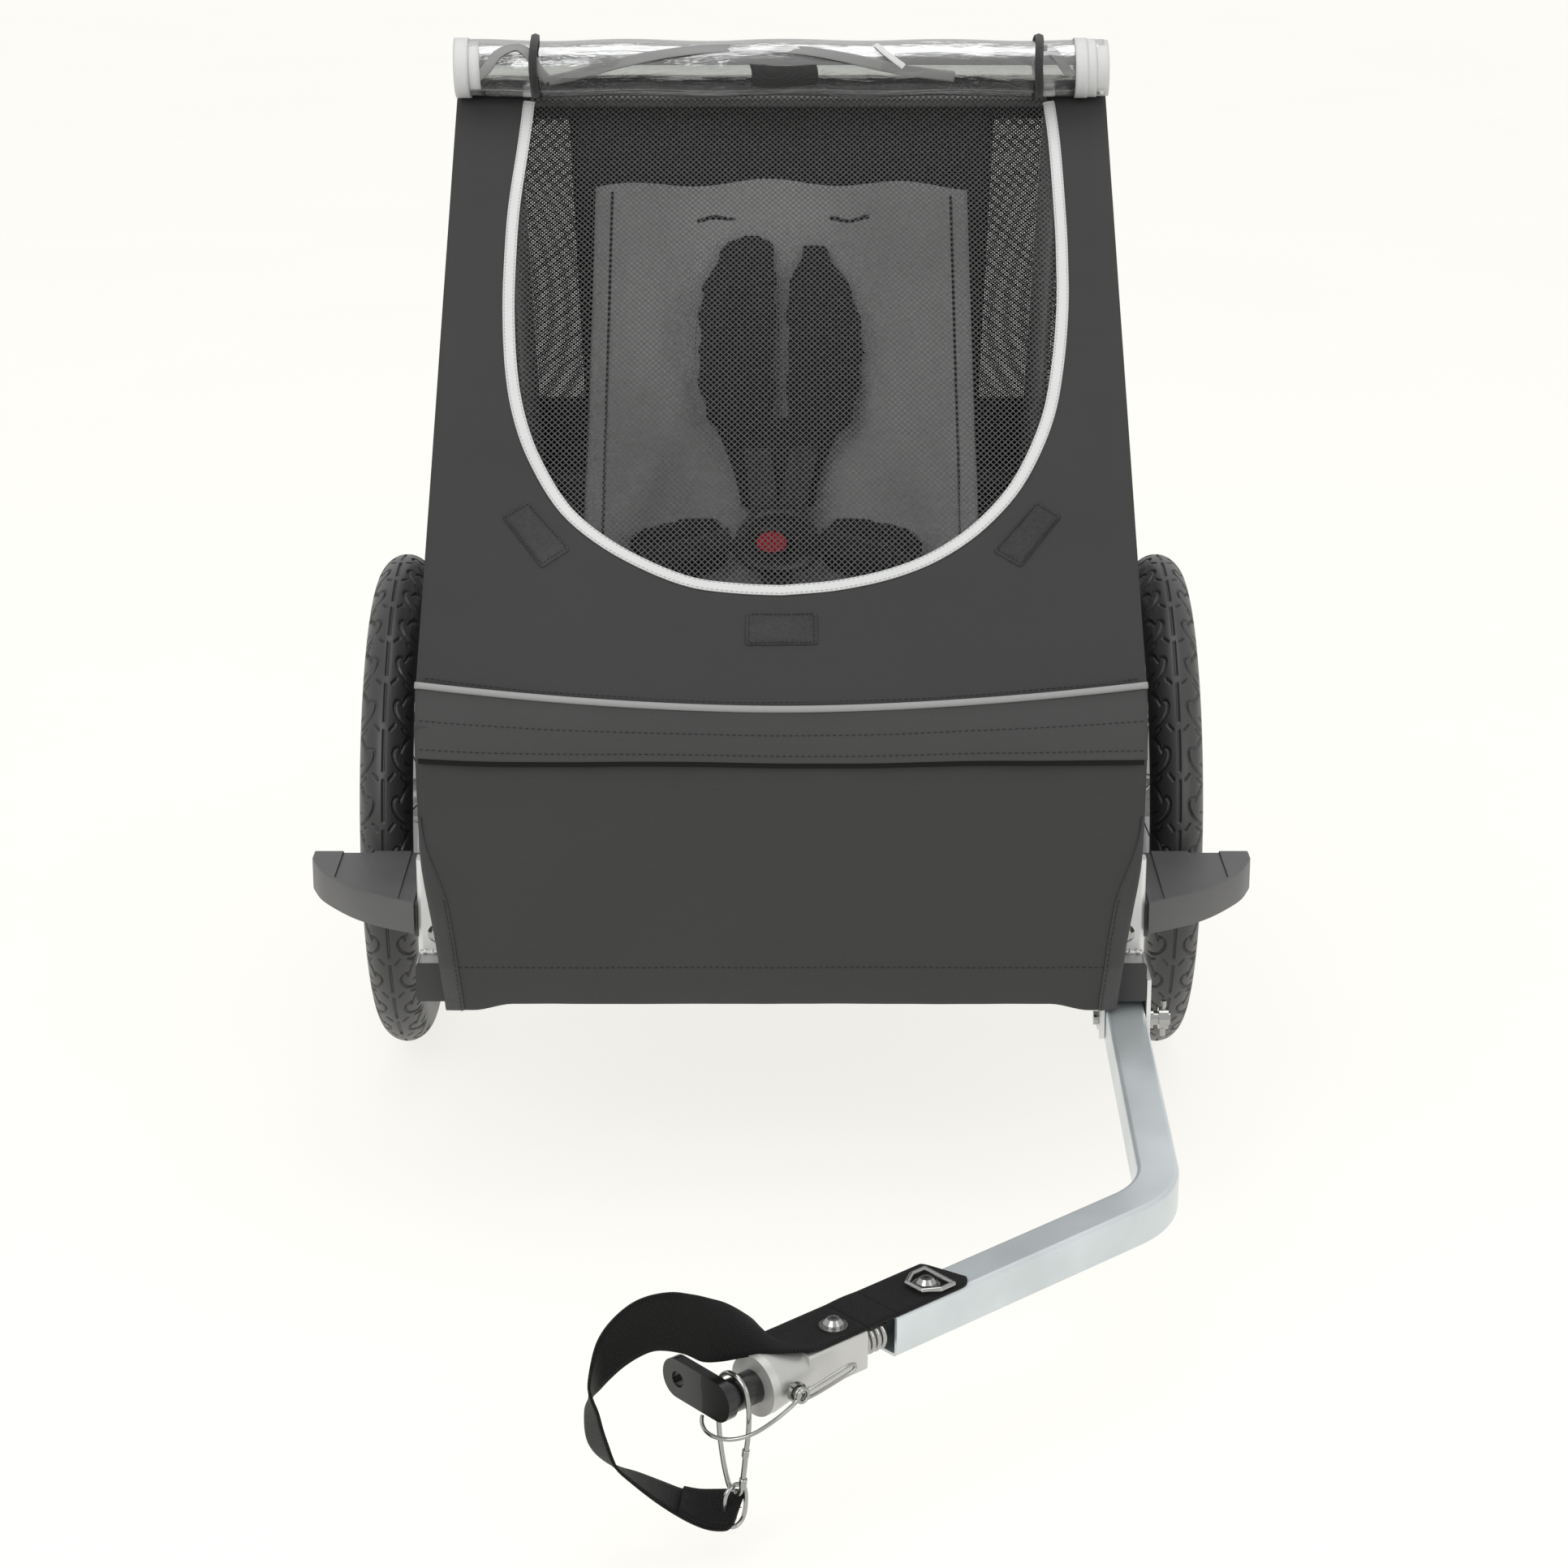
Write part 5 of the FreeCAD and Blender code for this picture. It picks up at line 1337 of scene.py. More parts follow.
def build_roll_keepers():
    """Elastic loops and a closing tab round the roll."""
    for x, hand in ((-194.5, "right"), (202.5, "left")):
        angles = [radians(-62) + radians(300) * i / 48 for i in range(49)]
        points = [on_roll(x + 0.6 * sin(i * 0.3), angle, 24.2) for i, angle in enumerate(angles)]
        points += [on_cover(x + 0.5, up, 1.8) for up in (601, 596, 591)]
        normals = [outward(angle) for angle in angles] + [COVER_NORMAL] * 3
        ribbon("elastic_keeper_" + hand, points, normals, 6.6, 1.6, WEB, "canopy", "webbing",
               crown=0.5)

    def tab(across, along):
        x = -24.6 + 52 * across + 1.5 * sin(along * 3)
        angle = radians(167 + 42 * along + 3 * sin(across * 3.1))
        return on_roll(x, angle, 24.0 + 1.2 * sin(across * 5))

    sheet("roll_closing_tab", tab, 20, 10, WEB, 2.2, "canopy", "webbing")


def build_roll_ends():
    """Dark cloth pieces rolled in with the sheet at each end."""
    def left(across, along):
        top, bottom = 112 - 6 * across, 172 - 58 * across
        return on_roll(198 - 43 * across, radians(top + (bottom - top) * along), 17.2)

    def right(across, along):
        top, bottom = 106 + 10 * across * across, 166 - 14 * across ** 3
        if across > 0.75:
            top += 22 * (across - 0.75) / 0.25
        return on_roll(-189 + 37 * across, radians(top + (bottom - top) * along), 17.2)

    for hand, surface in (("left", left), ("right", right)):
        sheet("roll_end_cloth_" + hand, surface, 18, 12, POCKET, 1.2, "canopy", "shell_fabric")


# ------------------------------------------------------------------ seat
def back_y(z):
    """The leaning plane of the seat back."""
    return 66.0 + (z - 352.0) * 46.0 / 328.0


def seat_back(across, along):
    z = 352 + 330 * along
    x = (2 * across - 1) * (163 - 13 * along)
    z += (4.0 * sin(across * pi) + 2.5 * sin(across * 17)) * along ** 6
    y = back_y(z) + 9 * (1 - (x / 163) ** 2) * sin(pi * min(along * 1.1, 1)) - 3
    # folds running out from the shoulder straps
    reach = hypot((abs(x) - 62) / 46.0, (z - 520) / 90.0)
    y += 4.2 * exp(-reach * reach) * sin(x * 0.11 + z * 0.03) + 2.4 * uneven(x, z, 81.0, 0.016)
    # broad folds falling from the pads towards the outer lower corners
    for shift, depth in ((0.0, 6.5), (34.0, 4.5)):
        fold_x = 66 + shift + (560 - z) * 0.40
        y -= depth * exp(-((abs(x) - fold_x) / 15.0) ** 2) * exp(-((z - 455) / 75.0) ** 2)
    # hollows beside the pads, then waves low down
    y += 7.0 * exp(-((abs(x) - 82) / 22.0) ** 2) * exp(-((z - 560) / 80.0) ** 2)
    y += 5.0 * exp(-((z - 400) / 46.0) ** 2) * sin(x * 0.062 + 1.0)
    return vec(x, y, z)


def build_seat_back():
    normal = vec(0, -1, 0.1)
    fold(sheet("seat_back_cloth", seat_back, 84, 84, SEAT, 3.0, "base", "seat_fabric",
               ["seat_back"], offset=1.0))
    for number, across in enumerate((0.045, 0.955)):
        seam = [seat_back(across, k / 60) + vec(0, -2.5, 0) for k in range(1, 60)]
        fold(ribbon("seat_back_seam_%d" % number, seam, normal, 2.4, 0.8, PAD, "base",
                    "seat_fabric"))
    lines = [[seat_back(across + shift, k / 60) + vec(0, -1.6, 0) for k in range(1, 60)]
             for across in (0.055, 0.945) for shift in (0.0, 0.012)]
    lines.append([seat_back(k / 60, 0.955) + vec(0, -1.6, 0) for k in range(2, 59)])
    fold(sew("seat_back_stitches", lines, normal, (4.6, 3.0, 0.4, 0.2), DARK_THREAD, "base",
             "seat_fabric"))
    for letter, start, end in (("a", -68, -37), ("b", 39, 71)):
        points = []
        for x in span(start, end, 12):
            point = seat_back(0.5 + x / 300.0, 0.925)
            points.append(vec(x, point.y - 2.4, point.z - 1.5 + 1.5 * sin(x * 0.2)))
        fold(ribbon("strap_slot_" + letter, points, vec(0, -1, 0), 4.0, 1.0, POCKET, "base",
                    "pad_fabric"))


def signed_power(value, power):
    """Squares a circle's sine or cosine off towards a rounded rectangle."""
    return abs(value) ** power * (1 if value > 0 else -1)


def build_seat_cushion():
    outline = []
    for i in range(64):
        angle = 2 * pi * i / 64
        outline.append(vec(159 * signed_power(cos(angle), 0.35),
                           -35 + 89 * signed_power(sin(angle), 0.4), 337.0))
    data = pad_data(outline, vec(0, 0, 1), thickness=10.0, crown=3.0, rings=7)
    cushion = add_mesh("seat_cushion", data, SEAT, None, "seat_fabric", ["seat_pan"])
    inflate(cushion, frames=20, reach=6.0, voxel=6.0, relax=3)


# ------------------------------------------------------------------ harness
# Shoulder pads, leaf shaped with the inner edge beside the middle: x, z
LEAVES = {
    "right": (
        (-24, 648), (-8, 636), (-3, 600), (-2, 555), (-4, 510), (-14, 480), (-34, 474),
        (-56, 492), (-68, 525), (-70, 560), (-66, 596), (-52, 628), (-38, 643)),
    "left": (
        (28, 636), (14, 628), (5, 596), (3, 555), (4, 510), (12, 480), (32, 474), (52, 490),
        (62, 520), (66, 556), (62, 588), (50, 616), (40, 630)),
}


def leaf_outline(hand):
    points = spline(LEAVES[hand], 5, closed=True)
    # drawn a little large: filling the pad pulls its outline in
    middle = centre(points)
    points = [middle + Vector(((point.x - middle.x) * 1.20, (point.y - middle.y) * 1.11))
              for point in points]
    return [vec(x, back_y(z) - 15.0, z) for x, z in points]


def build_shoulder_straps():
    normal = vec(0, -1, 0.14).normalized()
    for side, hand in reversed(SIDES):
        leaf = leaf_outline(hand)
        data = pad_data(leaf, normal, thickness=8.0, crown=3.0, rings=6)
        pad = add_mesh("shoulder_pad_" + hand, data, PAD, None, "pad_fabric",
                       ["shoulder_straps"] if side < 0 else ())
        inflate(pad, frames=20, reach=7.0, voxel=4.0, relax=14)
        fold(pad)
        # sewn hem, and a strap down the middle of the pad
        middle = centre(leaf)
        hem = [middle.lerp(point, 0.82) + normal * 8.5 for point in leaf]
        fold(sew("shoulder_pad_stitches_" + hand, [hem + hem[:1]], normal,
                 (4.2, 2.8, 0.34, 0.2), DARK_THREAD, "base", "pad_fabric"))
        web = spline([(side * 30, back_y(600) - 8, 600), (side * 30, back_y(540) - 9, 540),
                      (side * 22, back_y(490) - 12, 490), (side * 13 - 2, 40, 446),
                      (side * 10 - 4, 36, 428)])
        fold(ribbon("shoulder_web_" + hand, web, normal, 22.0, 1.6, WEB, "base", "webbing"))


def build_yoke():
    def surface(across, along):
        z = 428 + 74 * along
        out = 2 * across - 1
        x = -3 + out * (30 + 26 * along ** 1.5)
        return vec(x, back_y(z) - 12 - 7 * (1 - out ** 2), z)

    yoke = sheet("harness_yoke", surface, 24, 18, PAD, 5.0, "base", "pad_fabric")
    subdivide(yoke)
    fold(yoke)


def build_waist_pads():
    middle_z = 396
    for side, hand, middle_x in ((-1, "right", -84), (1, "left", 74)):
        tilt_cos, tilt_sin = cos(radians(-12 * side)), sin(radians(-12 * side))
        outline = []
        for i in range(40):
            angle = 2 * pi * i / 40
            x = 43 * signed_power(cos(angle), 0.5)
            z = 28 * signed_power(sin(angle), 0.6)
            outline.append(vec(middle_x + x * tilt_cos - z * tilt_sin, 43,
                               middle_z + x * tilt_sin + z * tilt_cos))
        data = pad_data(outline, vec(0, -1, 0), thickness=6.0, crown=3.0, rings=5)
        pad = add_mesh("waist_pad_" + hand, data, PAD, None, "pad_fabric",
                       ["waist_pads"] if side < 0 else ())
        inflate(pad, frames=16, reach=5.0, voxel=4.0, relax=8)
        # outward shift, y, rise
        web = spline([(middle_x + side * out, y, middle_z + rise) for out, y, rise in
                      ((30, 40, -5), (0, 36.5, 0), (-30, 35, 8), (-44, 33, 13))])
        ribbon("waist_web_" + hand, web, vec(0, -1, 0), 20.0, 1.6, WEB, "base", "webbing")


# Buckle shell: x, z of its outline, then share of the outline and offset in y of each level
BUCKLE_OUTLINE = (
    (-40, 398), (-36, 414), (-24, 430), (-8, 436), (8, 435), (22, 428), (30, 412), (32, 396),
    (24, 386), (8, 381), (-12, 381), (-30, 386))
BUCKLE_LEVELS = (
    (1.0, 8.0), (1.0, -2.0), (0.97, -6.0), (0.90, -8.2), (0.80, -8.6), (0.78, -7.6),
    (0.60, -7.9), (0.36, -8.2))


def build_buckle():
    ring = spline(BUCKLE_OUTLINE, 5, closed=True)
    middle = centre(ring)
    vertices = []
    for share, offset in BUCKLE_LEVELS:
        for point in ring:
            x, z = middle.lerp(point, share)
            vertices.append(vec(x, 31 + offset, z))
    faces = quads(len(ring), len(BUCKLE_LEVELS), ring=True)
    faces.append(tuple(reversed(range(len(ring)))))
    add_mesh("buckle_shell", (vertices, faces), BUCKLE, "base", "dark_plastic", ["buckle_body"])
    # a raised ring round the button
    button_x, _, button_z = box_centre("buckle_button")
    angles = [2 * pi * i / 48 for i in range(48)]
    rim = [vec(button_x + cos(a) * 14.2, 22.4, button_z + sin(a) * 10.2) for a in angles]
    add_mesh("buckle_button_ring", tube_data(rim, 1.5, 10, closed=True), BUCKLE, "base",
             "dark_plastic")
    web = spline([(-4, -24, 352.5), (-4, 4, 354), (-4, 24, 362), (-4, 31, 384)])
    ribbon("crotch_web", web, vec(0, -0.9, 0.45), 26.0, 1.8, WEB, "base", "webbing",
           ["crotch_strap"])


# ------------------------------------------------------------------ tyres
WHEEL_RADIUS = 199.0
WHEEL_X = 305.0
REPEATS = 32
PITCH = 2 * pi * WHEEL_RADIUS / REPEATS
# Paths of the tread cuts in one pitch: distance round the tyre, distance from the centre line
CROSS = ((36.0, 4.6), (40.5, 8.4))
HOOK = ((0.5, 21.5), (3.0, 16.5), (7.0, 11.8), (12.0, 8.6), (17.0, 7.4), (20.5, 8.2),
        (22.6, 10.4), (22.8, 13.2), (21.0, 15.0), (19.0, 14.2))
TAIL = ((21.5, 15.4), (24.0, 16.6), (27.5, 18.4), (31.0, 21.5))
SIDE_CUT = ((33.0, 24.5), (35.5, 18.0), (38.6, 15.0))
SHOULDER = ((11, 19.5), (9.0, 26.0))


def groove(distance, width):
    distance = abs(distance)
    return 0.0 if distance > width else (1 - (distance / width) ** 2)


def path_cut(path, x, y, width):
    """Depth of a cut along a path at a point."""
    nearest = []
    for (x0, y0), (x1, y1) in zip(path, path[1:]):
        run, rise = x1 - x0, y1 - y0
        share = ((x - x0) * run + (y - y0) * rise) / (run * run + rise * rise)
        share = max(0, min(1, share))
        nearest.append(hypot(x - x0 - run * share, y - y0 - rise * share))
    return groove(min(nearest), width)


def tread(around, across):
    """Depth of the tread cuts at a distance round the tyre and from the centre line."""
    y = abs(across)
    if y > 30:
        return 0.0
    x = around % PITCH
    depths = [path_cut(HOOK, x, y, 1.35), path_cut(TAIL, x, y, 1.35)]
    if 3.5 < x < PITCH - 3.5:
        depths.append(0.85 * groove(across, 1.5))
    if y < 12:
        depths += [path_cut(CROSS, x, y, 1.15), path_cut(CROSS, x + PITCH, y, 1.15)]
    if y > 13:
        depths.append(0.9 * path_cut(SIDE_CUT, x, y, 1.2))
    if y > 18.5:
        depths.append(0.8 * path_cut(SHOULDER, x, y, 1.1))
    return max(depths)


def build_tyres():
    # stations from bead to bead: close together over the tread, wider on the walls
    stations = [-1 + 0.62 * k / 12 for k in range(12)] + span(-0.38, 0.38, 72)
    stations += [0.38 + 0.62 * (k + 1) / 12 for k in range(12)]
    angles = [radians(133 * station) for station in stations]
    section = [(20.5 * sin(a), WHEEL_RADIUS - 23.5 + 23.5 * cos(a)) for a in angles]
    reached = [0.0]
    for a, b in zip(section, section[1:]):
        reached.append(reached[-1] + hypot(a[0] - b[0], a[1] - b[1]))
    across = [distance - reached[len(reached) // 2] for distance in reached]
    ribs = [0.35 * groove(abs(k) - 34.0, 0.9) + 0.3 * groove(abs(k) - 41.0, 0.8) for k in across]
    steps = 44      # per tread pitch
    depths = [[1.9 * tread(PITCH * i / steps, k) - rib for k, rib in zip(across, ribs)]
              for i in range(steps)]
    # the inside of the tyre: x, radius
    inside = ((9.9, 159.2), (9.8, 153.2), (-9.8, 153.2), (-9.9, 159.2))
    count = REPEATS * steps
    for side, hand in SIDES:
        vertices = []
        for i in range(count):
            turn = 2 * pi * i / count
            profile = [(x - sin(a) * depth, r - cos(a) * depth)
                       for (x, r), a, depth in zip(section, angles, depths[i % steps])]
            for x, r in profile + list(inside):
                vertices.append(vec(side * WHEEL_X + x, r * sin(turn),
                                    WHEEL_RADIUS + r * cos(turn)))
        faces = flipped(quads(len(section) + len(inside), count, ring=True, loop=True))
        add_mesh("tyre_tread_" + hand, (vertices, faces), RUBBER, "wheel_" + hand,
                 "tyre_rubber", ["tyre_" + hand])


# ------------------------------------------------------------------ safety strap
# The front leg of the tow arm turns across the trailer and droops about a pivot.
DROOP = radians(3.5)
PIVOT_Y, PIVOT_Z = -288.0, 141.5
TURN = radians(48.7)
LEG_START = vec(251.5, -638.6, PIVOT_Z)
LEG_RUN = vec(-sin(TURN), -cos(TURN), 0)
LEG_SIDE = vec(cos(TURN), -sin(TURN), 0)
TUBE_TOP = 14.3
STRAP_LIFT = TUBE_TOP + 1.2
# the webbing is wider than the tube and overhangs its rear edge
STRAP_FRONT, STRAP_BACK = 14.6, -23.6
# The band round the loop on edge: back edge, front edge
LOOP_EDGES = [
    ((-15.7, -846.0, 134.4), (1.5, -868.0, 125.4)), ((-24.4, -858.0, 147.7), (-11.7, -869.0, 124.6)),
    ((-33.9, -870.0, 159.4), (-24.3, -872.0, 123.8)), ((-43.4, -881.0, 167.8), (-36.0, -877.0, 124.2)),
    ((-52.5, -889.5, 173.8), (-47.3, -882.0, 126.6)), ((-63.1, -897.0, 178.6), (-57.5, -888.0, 134.6)),
    ((-75.5, -898.0, 177.3), (-67.6, -888.0, 136.8)), ((-86.4, -899.0, 173.2), (-76.3, -887.0, 136.0)),
    ((-95.9, -899.0, 165.5), (-85.9, -885.0, 130.5)), ((-103.8, -899.0, 156.0), (-94.8, -883.0, 123.1)),
    ((-108.6, -899.0, 146.6), (-102.1, -880.0, 114.6)),
    ((-111.7, -903.0, 135.6), (-109.3, -873.0, 103.6)),
    ((-113.7, -905.0, 121.1), (-113.6, -870.0, 97.8)), ((-111.6, -906.0, 112.6), (-117.3, -870.0, 91.1)),
    ((-108.7, -905.0, 103.8), (-118.2, -870.0, 82.3)), ((-106.1, -904.0, 91.9), (-117.6, -869.0, 71.1)),
    ((-103.0, -905.0, 82.0), (-114.8, -870.0, 63.6)), ((-100.3, -906.0, 73.8), (-109.0, -870.0, 56.5)),
    ((-96.9, -906.0, 66.7), (-99.5, -869.0, 49.4)), ((-87.7, -904.0, 56.4), (-87.2, -870.0, 45.8)),
    ((-75.2, -902.0, 44.3), (-73.2, -869.0, 39.4)), ((-62.7, -900.0, 33.9), (-60.4, -868.0, 33.5)),
    ((-51.7, -898.0, 26.2), (-50.8, -867.0, 31.1)), ((-42.2, -898.0, 22.6), (-39.5, -868.0, 31.6)),
    ((-33.2, -898.0, 22.3), (-28.0, -868.0, 31.6)), ((-29.7, -896.5, 24.7), (-23.1, -869.5, 29.2)),
]


def on_leg(along, beside=0.0, up=0.0):
    """Point by its distance along the leg's axis, beside it (to the front) and above it."""
    point = LEG_START + LEG_RUN * along + LEG_SIDE * beside + vec(0, 0, up)
    y, z = point.y - PIVOT_Y, point.z - PIVOT_Z
    return vec(point.x, PIVOT_Y + y * cos(DROOP) - z * sin(DROOP),
               PIVOT_Z + y * sin(DROOP) + z * cos(DROOP))


def build_strap_on_arm():
    # on the tube, its end cut round
    front, back = [], []
    for along in span(186, 252, 28):
        cut = max(0.0, 1 - (along - 186) / 12.0)
        front.append(on_leg(along + 0.5 * cut, STRAP_FRONT - 7.0 * cut ** 3, STRAP_LIFT))
        back.append(on_leg(along + 7.0 * cut, STRAP_BACK + 9.0 * cut ** 2.2, STRAP_LIFT))
    band_between("strap_on_tube", front, back, 1.9, STRAP, "tow_arm", "webbing",
                 ["strap_on_arm"])
    # over the spring, between the arm and the coupler
    front, back = [[on_leg(along, beside, STRAP_LIFT + 0.5 * sin((along - 252) / 24 * pi))
                    for along in span(251.6, 276.6, 14)] for beside in (STRAP_FRONT, STRAP_BACK)]
    bridge = band_between("strap_over_spring", front, back, 1.9, STRAP, None, "webbing",
                          ["strap_bridge"])
    start, end = [tuple((on_leg(along) + vec(0, AXLE_Y, 0)) * MM) for along in (252.5, 275.5)]
    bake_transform(bridge)


def build_strap_loop():
    # flat on the coupler, then the front edge rolls over and the band goes round on edge
    stations = (276, 287.5, 299, 310.5)
    front = [on_leg(along, STRAP_FRONT, STRAP_LIFT) for along in stations]
    front += [on_leg(317, STRAP_FRONT, TUBE_TOP + 1.4),
              on_leg(324.5, STRAP_FRONT - 0.5, TUBE_TOP + 3.6)]
    back = [on_leg(along, STRAP_BACK, STRAP_LIFT) for along in stations + (322,)]
    back.append(on_leg(333.5, STRAP_BACK, TUBE_TOP + 2.2))
    band_between("safety_strap_loop", spline(front + [q for _, q in LOOP_EDGES], 6),
                 spline(back + [p for p, _ in LOOP_EDGES], 6), 1.8, STRAP, "coupler", "webbing",
                 ["safety_strap"])
    # sewn end: a second layer on the last stretch, with rows of stitching
    first = spline([p for p, _ in LOOP_EDGES[-5:]], 6)
    second = spline([q for _, q in LOOP_EDGES[-5:]], 6)
    normal = (first[1] - first[0]).cross(second[0] - first[0]).normalized()
    band_between("strap_sewn_end", [p + normal * 2.1 for p in first],
                 [p + normal * 2.1 for p in second], 1.9, STRAP, "coupler", "webbing")
    rows = [[p.lerp(q, share) + normal * 3.1 for p, q in zip(first, second)]
            for share in (0.1, 0.5, 0.9)]
    sew("strap_end_stitches", rows, normal, (3.0, 2.0, 0.35, 0.1), DARK_THREAD, "coupler",
        "webbing")


# ------------------------------------------------------------------ wires
PIN_ALONG = 342.0     # hitch pin, along the leg
HOOK_ALONG = 372.5    # snap hook, along the leg
# Points are: across the leg towards its rear, along the leg from the pin or hook, up
BAIL_BEND = (
    (-25.2, -1, 2.4), (-27.6, 1.5, 2.2), (-28.4, 3.4, -0.6), (-27.8, 8, -4.0),
    (-26.4, 21, -9.8), (-22.4, 34, -15.4), (-15, 43.5, -18.8), (-5, 48.2, -20.2),
    (4, 48.6, -20), (11, 46.0, -18.6), (14.5, 43, -16))
BAIL_TAIL = (
    (-26.0, 2, 1.2), (-27.4, -8, 1.6), (-27.0, -26, 3.6), (-26.7, -37, 5.0),
    (-26.6, -42.4, 4.6), (-26.6, -44.2, 2.6), (-26.6, -42.4, 0.6), (-26.6, -35, -1.0),
    (-27.2, -14, -3.4), (-28.0, -2, -3.4))
HOOK_BODY = (
    (-10.9, 0, -36), (-12.9, 0, -26), (-14.1, 0, -14), (-14.0, 0, -3), (-11.4, 0, 7.4),
    (-5.6, 0, 12.6), (0, 0, 13.7), (5.6, 0, 12.6), (11.4, 0, 7.4), (14.0, 0, -3),
    (14.0, 0, -18), (12.9, 0, -34), (9.8, 0, -50), (5.6, 0, -62.5), (1.4, 0, -67.2),
    (-3.2, 0, -67.4), (-6.4, 0, -63.4), (-8.0, 0, -57))
HOOK_RING = (
    (-1, -7, -66), (-1, -8.6, -76), (-1, -6.4, -87), (-1, 0, -91), (-1, 6.4, -87),
    (-1, 8.6, -76), (-1, 7, -66), (-1, 0, -62))
HOOK_GATE = ((-8.7, 0, -53.4), (-9.4, 0, -48.5), (-10.2, 0, -43), (-10.8, 0, -38.2))
HOOK_FERRULE = ((-8.2, 0, -58.5), (-8.3, 0, -57.5), (-8.6, 0, -55.5), (-8.8, 0, -54.2))
HOOK_NOSE = ((-10.6, 0, -37.6), (-10.9, 0, -35.6), (-11.4, 0, -33.0))


def wire(name, points, origin, radius, body, replaced=(), closed=False, steps=9):
    path = spline([on_leg(origin + along, -across, up) for across, along, up in points],
                  steps, closed)
    add_mesh(name, tube_data(path, radius, 12, closed), ZINC, body, "bright_zinc", replaced)


def build_wires():
    wire("bail_wire_bend", BAIL_BEND, PIN_ALONG, 1.3, "bail", ["bail_wire"])
    wire("bail_wire_tail", BAIL_TAIL, PIN_ALONG, 1.25, "bail")
    for k, shift in enumerate((0.0, 1.9)):
        coil = [(-26.6 - shift, 4.2 * cos(radians(60 * i)), 4.2 * sin(radians(60 * i)))
                for i in range(6)]
        wire("bail_coil_%d" % k, coil, PIN_ALONG, 1.2, "bail", closed=True, steps=6)
    wire("snap_hook_body", HOOK_BODY, HOOK_ALONG, 1.65, "coupler", ["snap_hook"])
    wire("snap_hook_ring", HOOK_RING, HOOK_ALONG, 1.5, "coupler", closed=True)
    wire("snap_hook_gate_wire", HOOK_GATE, HOOK_ALONG, 1.75, "hook_gate", ["snap_hook_gate"])
    wire("snap_hook_ferrule", HOOK_FERRULE, HOOK_ALONG, 2.5, "coupler")
    wire("snap_hook_nose", HOOK_NOSE, HOOK_ALONG, 2.3, "coupler")


def build_bracket_details(side, hand):
    """Weld run where a bracket stands on the side tube, and the lug at its top."""
    weld = [vec(side * (240.5 + 24 * i / 30), -336.9 - 0.5 * sin(i * 2.1),
                187.6 + 0.5 * sin(i * 1.3)) for i in range(31)]
    data = tube_data(weld, lambda u: 1.7 + 0.45 * sin(u * 60.0) + 0.25 * sin(u * 23.0), 10)
    add_mesh("bracket_weld_" + hand, data, ALUMINIUM, "base", "frame_metal")
    lug = [vec(side * 259.5, -334.0, z) for z in (256.0, 266.0, 267.2)]
    data = tube_data(lug, lambda u: 2.8 if u > 0.9 else 3.6, 14)
    add_mesh("bracket_lug_" + hand, data, ALUMINIUM, "base", "frame_metal")


# ------------------------------------------------------------------ stage, light, camera
def build_floor():
    mesh = bpy.data.meshes.new("floor")
    corners = [(x, y, -0.001) for x, y in ((-14, -14), (14, -14), (14, 14), (-14, 14))]
    mesh.from_pydata(corners, [], [(0, 1, 2, 3)])
    floor = bpy.data.objects.new("floor", mesh)
    scene.collection.objects.link(floor)
    shader = Shader("floor_pale")
    clouds = shader.noise(shader.place(), scale=2.0, detail=2.0)
    mesh.materials.append(shader.surface({
        "Base Color": shader.ramp(clouds, (0.17, 0.169, 0.163, 1), (0.18, 0.179, 0.172, 1)),
        "Roughness": 0.9,
        "Specular IOR Level": 0.1,
        "Emission Color": (0.995, 0.984, 0.94, 1),
        "Emission Strength": 0.83,
    }))


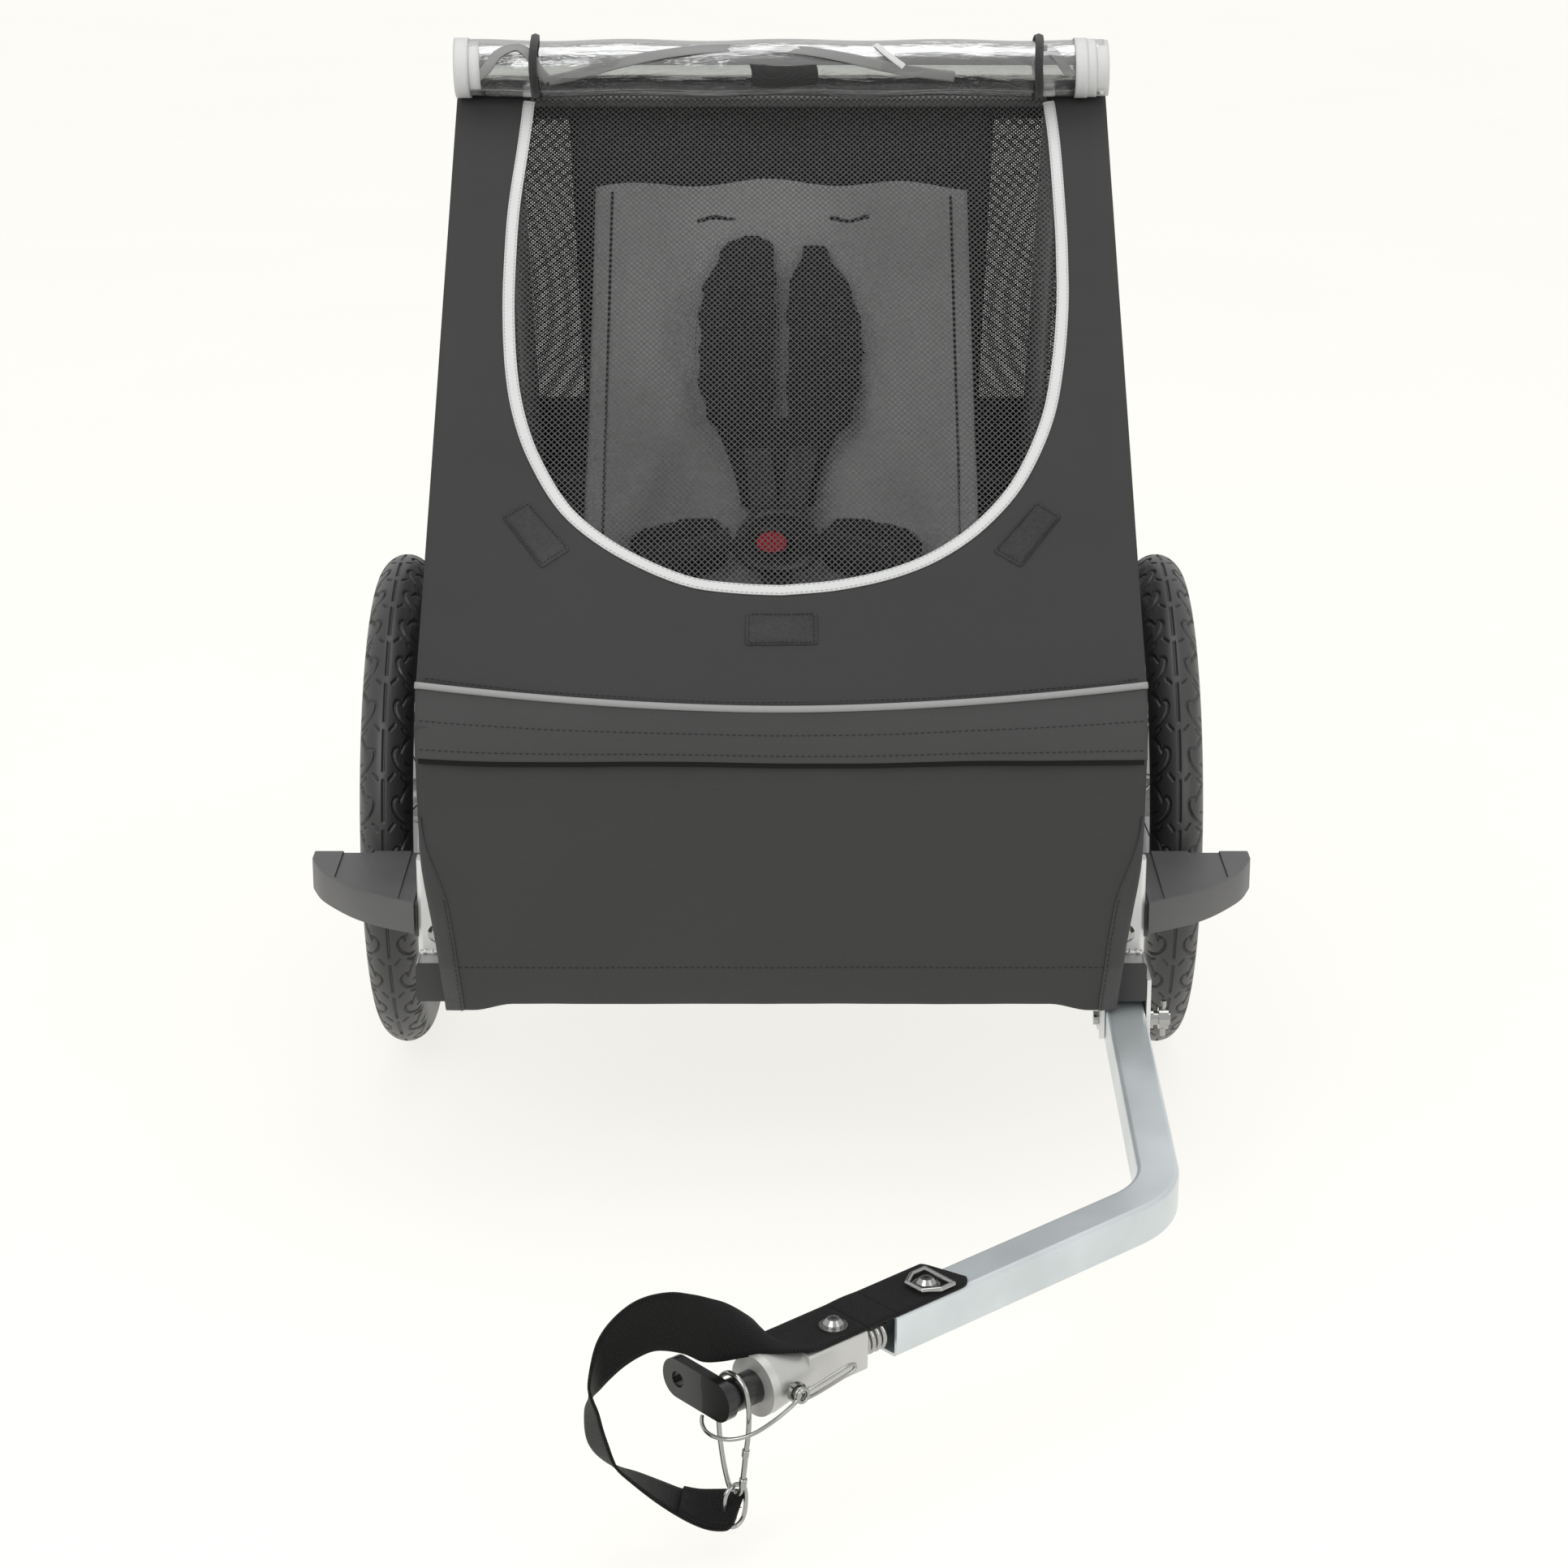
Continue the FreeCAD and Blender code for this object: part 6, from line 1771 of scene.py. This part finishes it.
def build_world():
    """The camera sees a warm white; the light on the trailer is a little weaker and cooler."""
    world = bpy.data.worlds.new("studio")
    scene.world = world
    world.use_nodes = True
    nodes, links = world.node_tree.nodes, world.node_tree.links
    seen = nodes["Background"]
    seen.inputs["Color"].default_value = (0.99, 0.98, 0.93, 1)
    seen.inputs["Strength"].default_value = 1.0
    light = nodes.new("ShaderNodeBackground")
    light.inputs["Color"].default_value = (1.0, 1.0, 0.995, 1)
    light.inputs["Strength"].default_value = 0.78
    path = nodes.new("ShaderNodeLightPath")
    mix = nodes.new("ShaderNodeMixShader")
    links.new(path.outputs["Is Camera Ray"], mix.inputs["Fac"])
    links.new(light.outputs[0], mix.inputs[1])
    links.new(seen.outputs[0], mix.inputs[2])
    links.new(mix.outputs[0], nodes["World Output"].inputs["Surface"])


def area_light(name, location, target, power):
    """Square lamp; location and target are in metres from the axle's y."""
    data = bpy.data.lights.new(name, "AREA")
    data.energy = power
    data.size = 2.0
    lamp = bpy.data.objects.new(name, data)
    scene.collection.objects.link(lamp)
    location = Vector(location)
    lamp.location = location + vec(0, AXLE_Y * MM, 0)
    lamp.rotation_euler = (Vector(target) - location).to_track_quat("-Z", "Y").to_euler()


def build_camera():
    data = bpy.data.cameras.new("camera")
    camera = bpy.data.objects.new("camera", data)
    scene.collection.objects.link(camera)
    camera.location = (0.002, -2.8893 + AXLE_Y * MM, 1.1215)
    camera.rotation_euler = (radians(72.5), 0, 0)
    data.sensor_width = 36.0
    data.lens = 84.97
    data.clip_end = 60
    scene.camera = camera
    scene.view_settings.view_transform = "Standard"
    scene.view_settings.look = "None"


# ------------------------------------------------------------------ build
build_cover_cloth()
build_roof_wrap()
build_front_window()
build_belt_piping()
build_patches()
build_belt_flap()
build_lower_front()
for side, hand in SIDES:
    build_lower_side(side, hand)
for side, hand in SIDES:
    build_wheel_guard(side, hand)
build_rear_wall_and_floor()
build_upper_sides()
build_upper_rear()
build_roll_sheets()
build_roll_tapes()
build_roll_keepers()
build_roll_ends()
build_seat_back()
build_seat_cushion()
build_shoulder_straps()
build_yoke()
build_waist_pads()
build_buckle()
build_tyres()
build_strap_on_arm()
build_strap_loop()
build_wires()
for side, hand in SIDES:
    build_bracket_details(side, hand)
build_floor()
build_world()
area_light("key_soft", location=(-1.4, -2.8, 2.4), target=(0, -0.2, 0.4), power=40)
area_light("fill_soft", location=(2.2, -2.6, 1.5), target=(0, -0.3, 0.3), power=20)
area_light("top_soft", location=(0.2, -0.1, 3.2), target=(0, -0.2, 0.4), power=27)
build_camera()
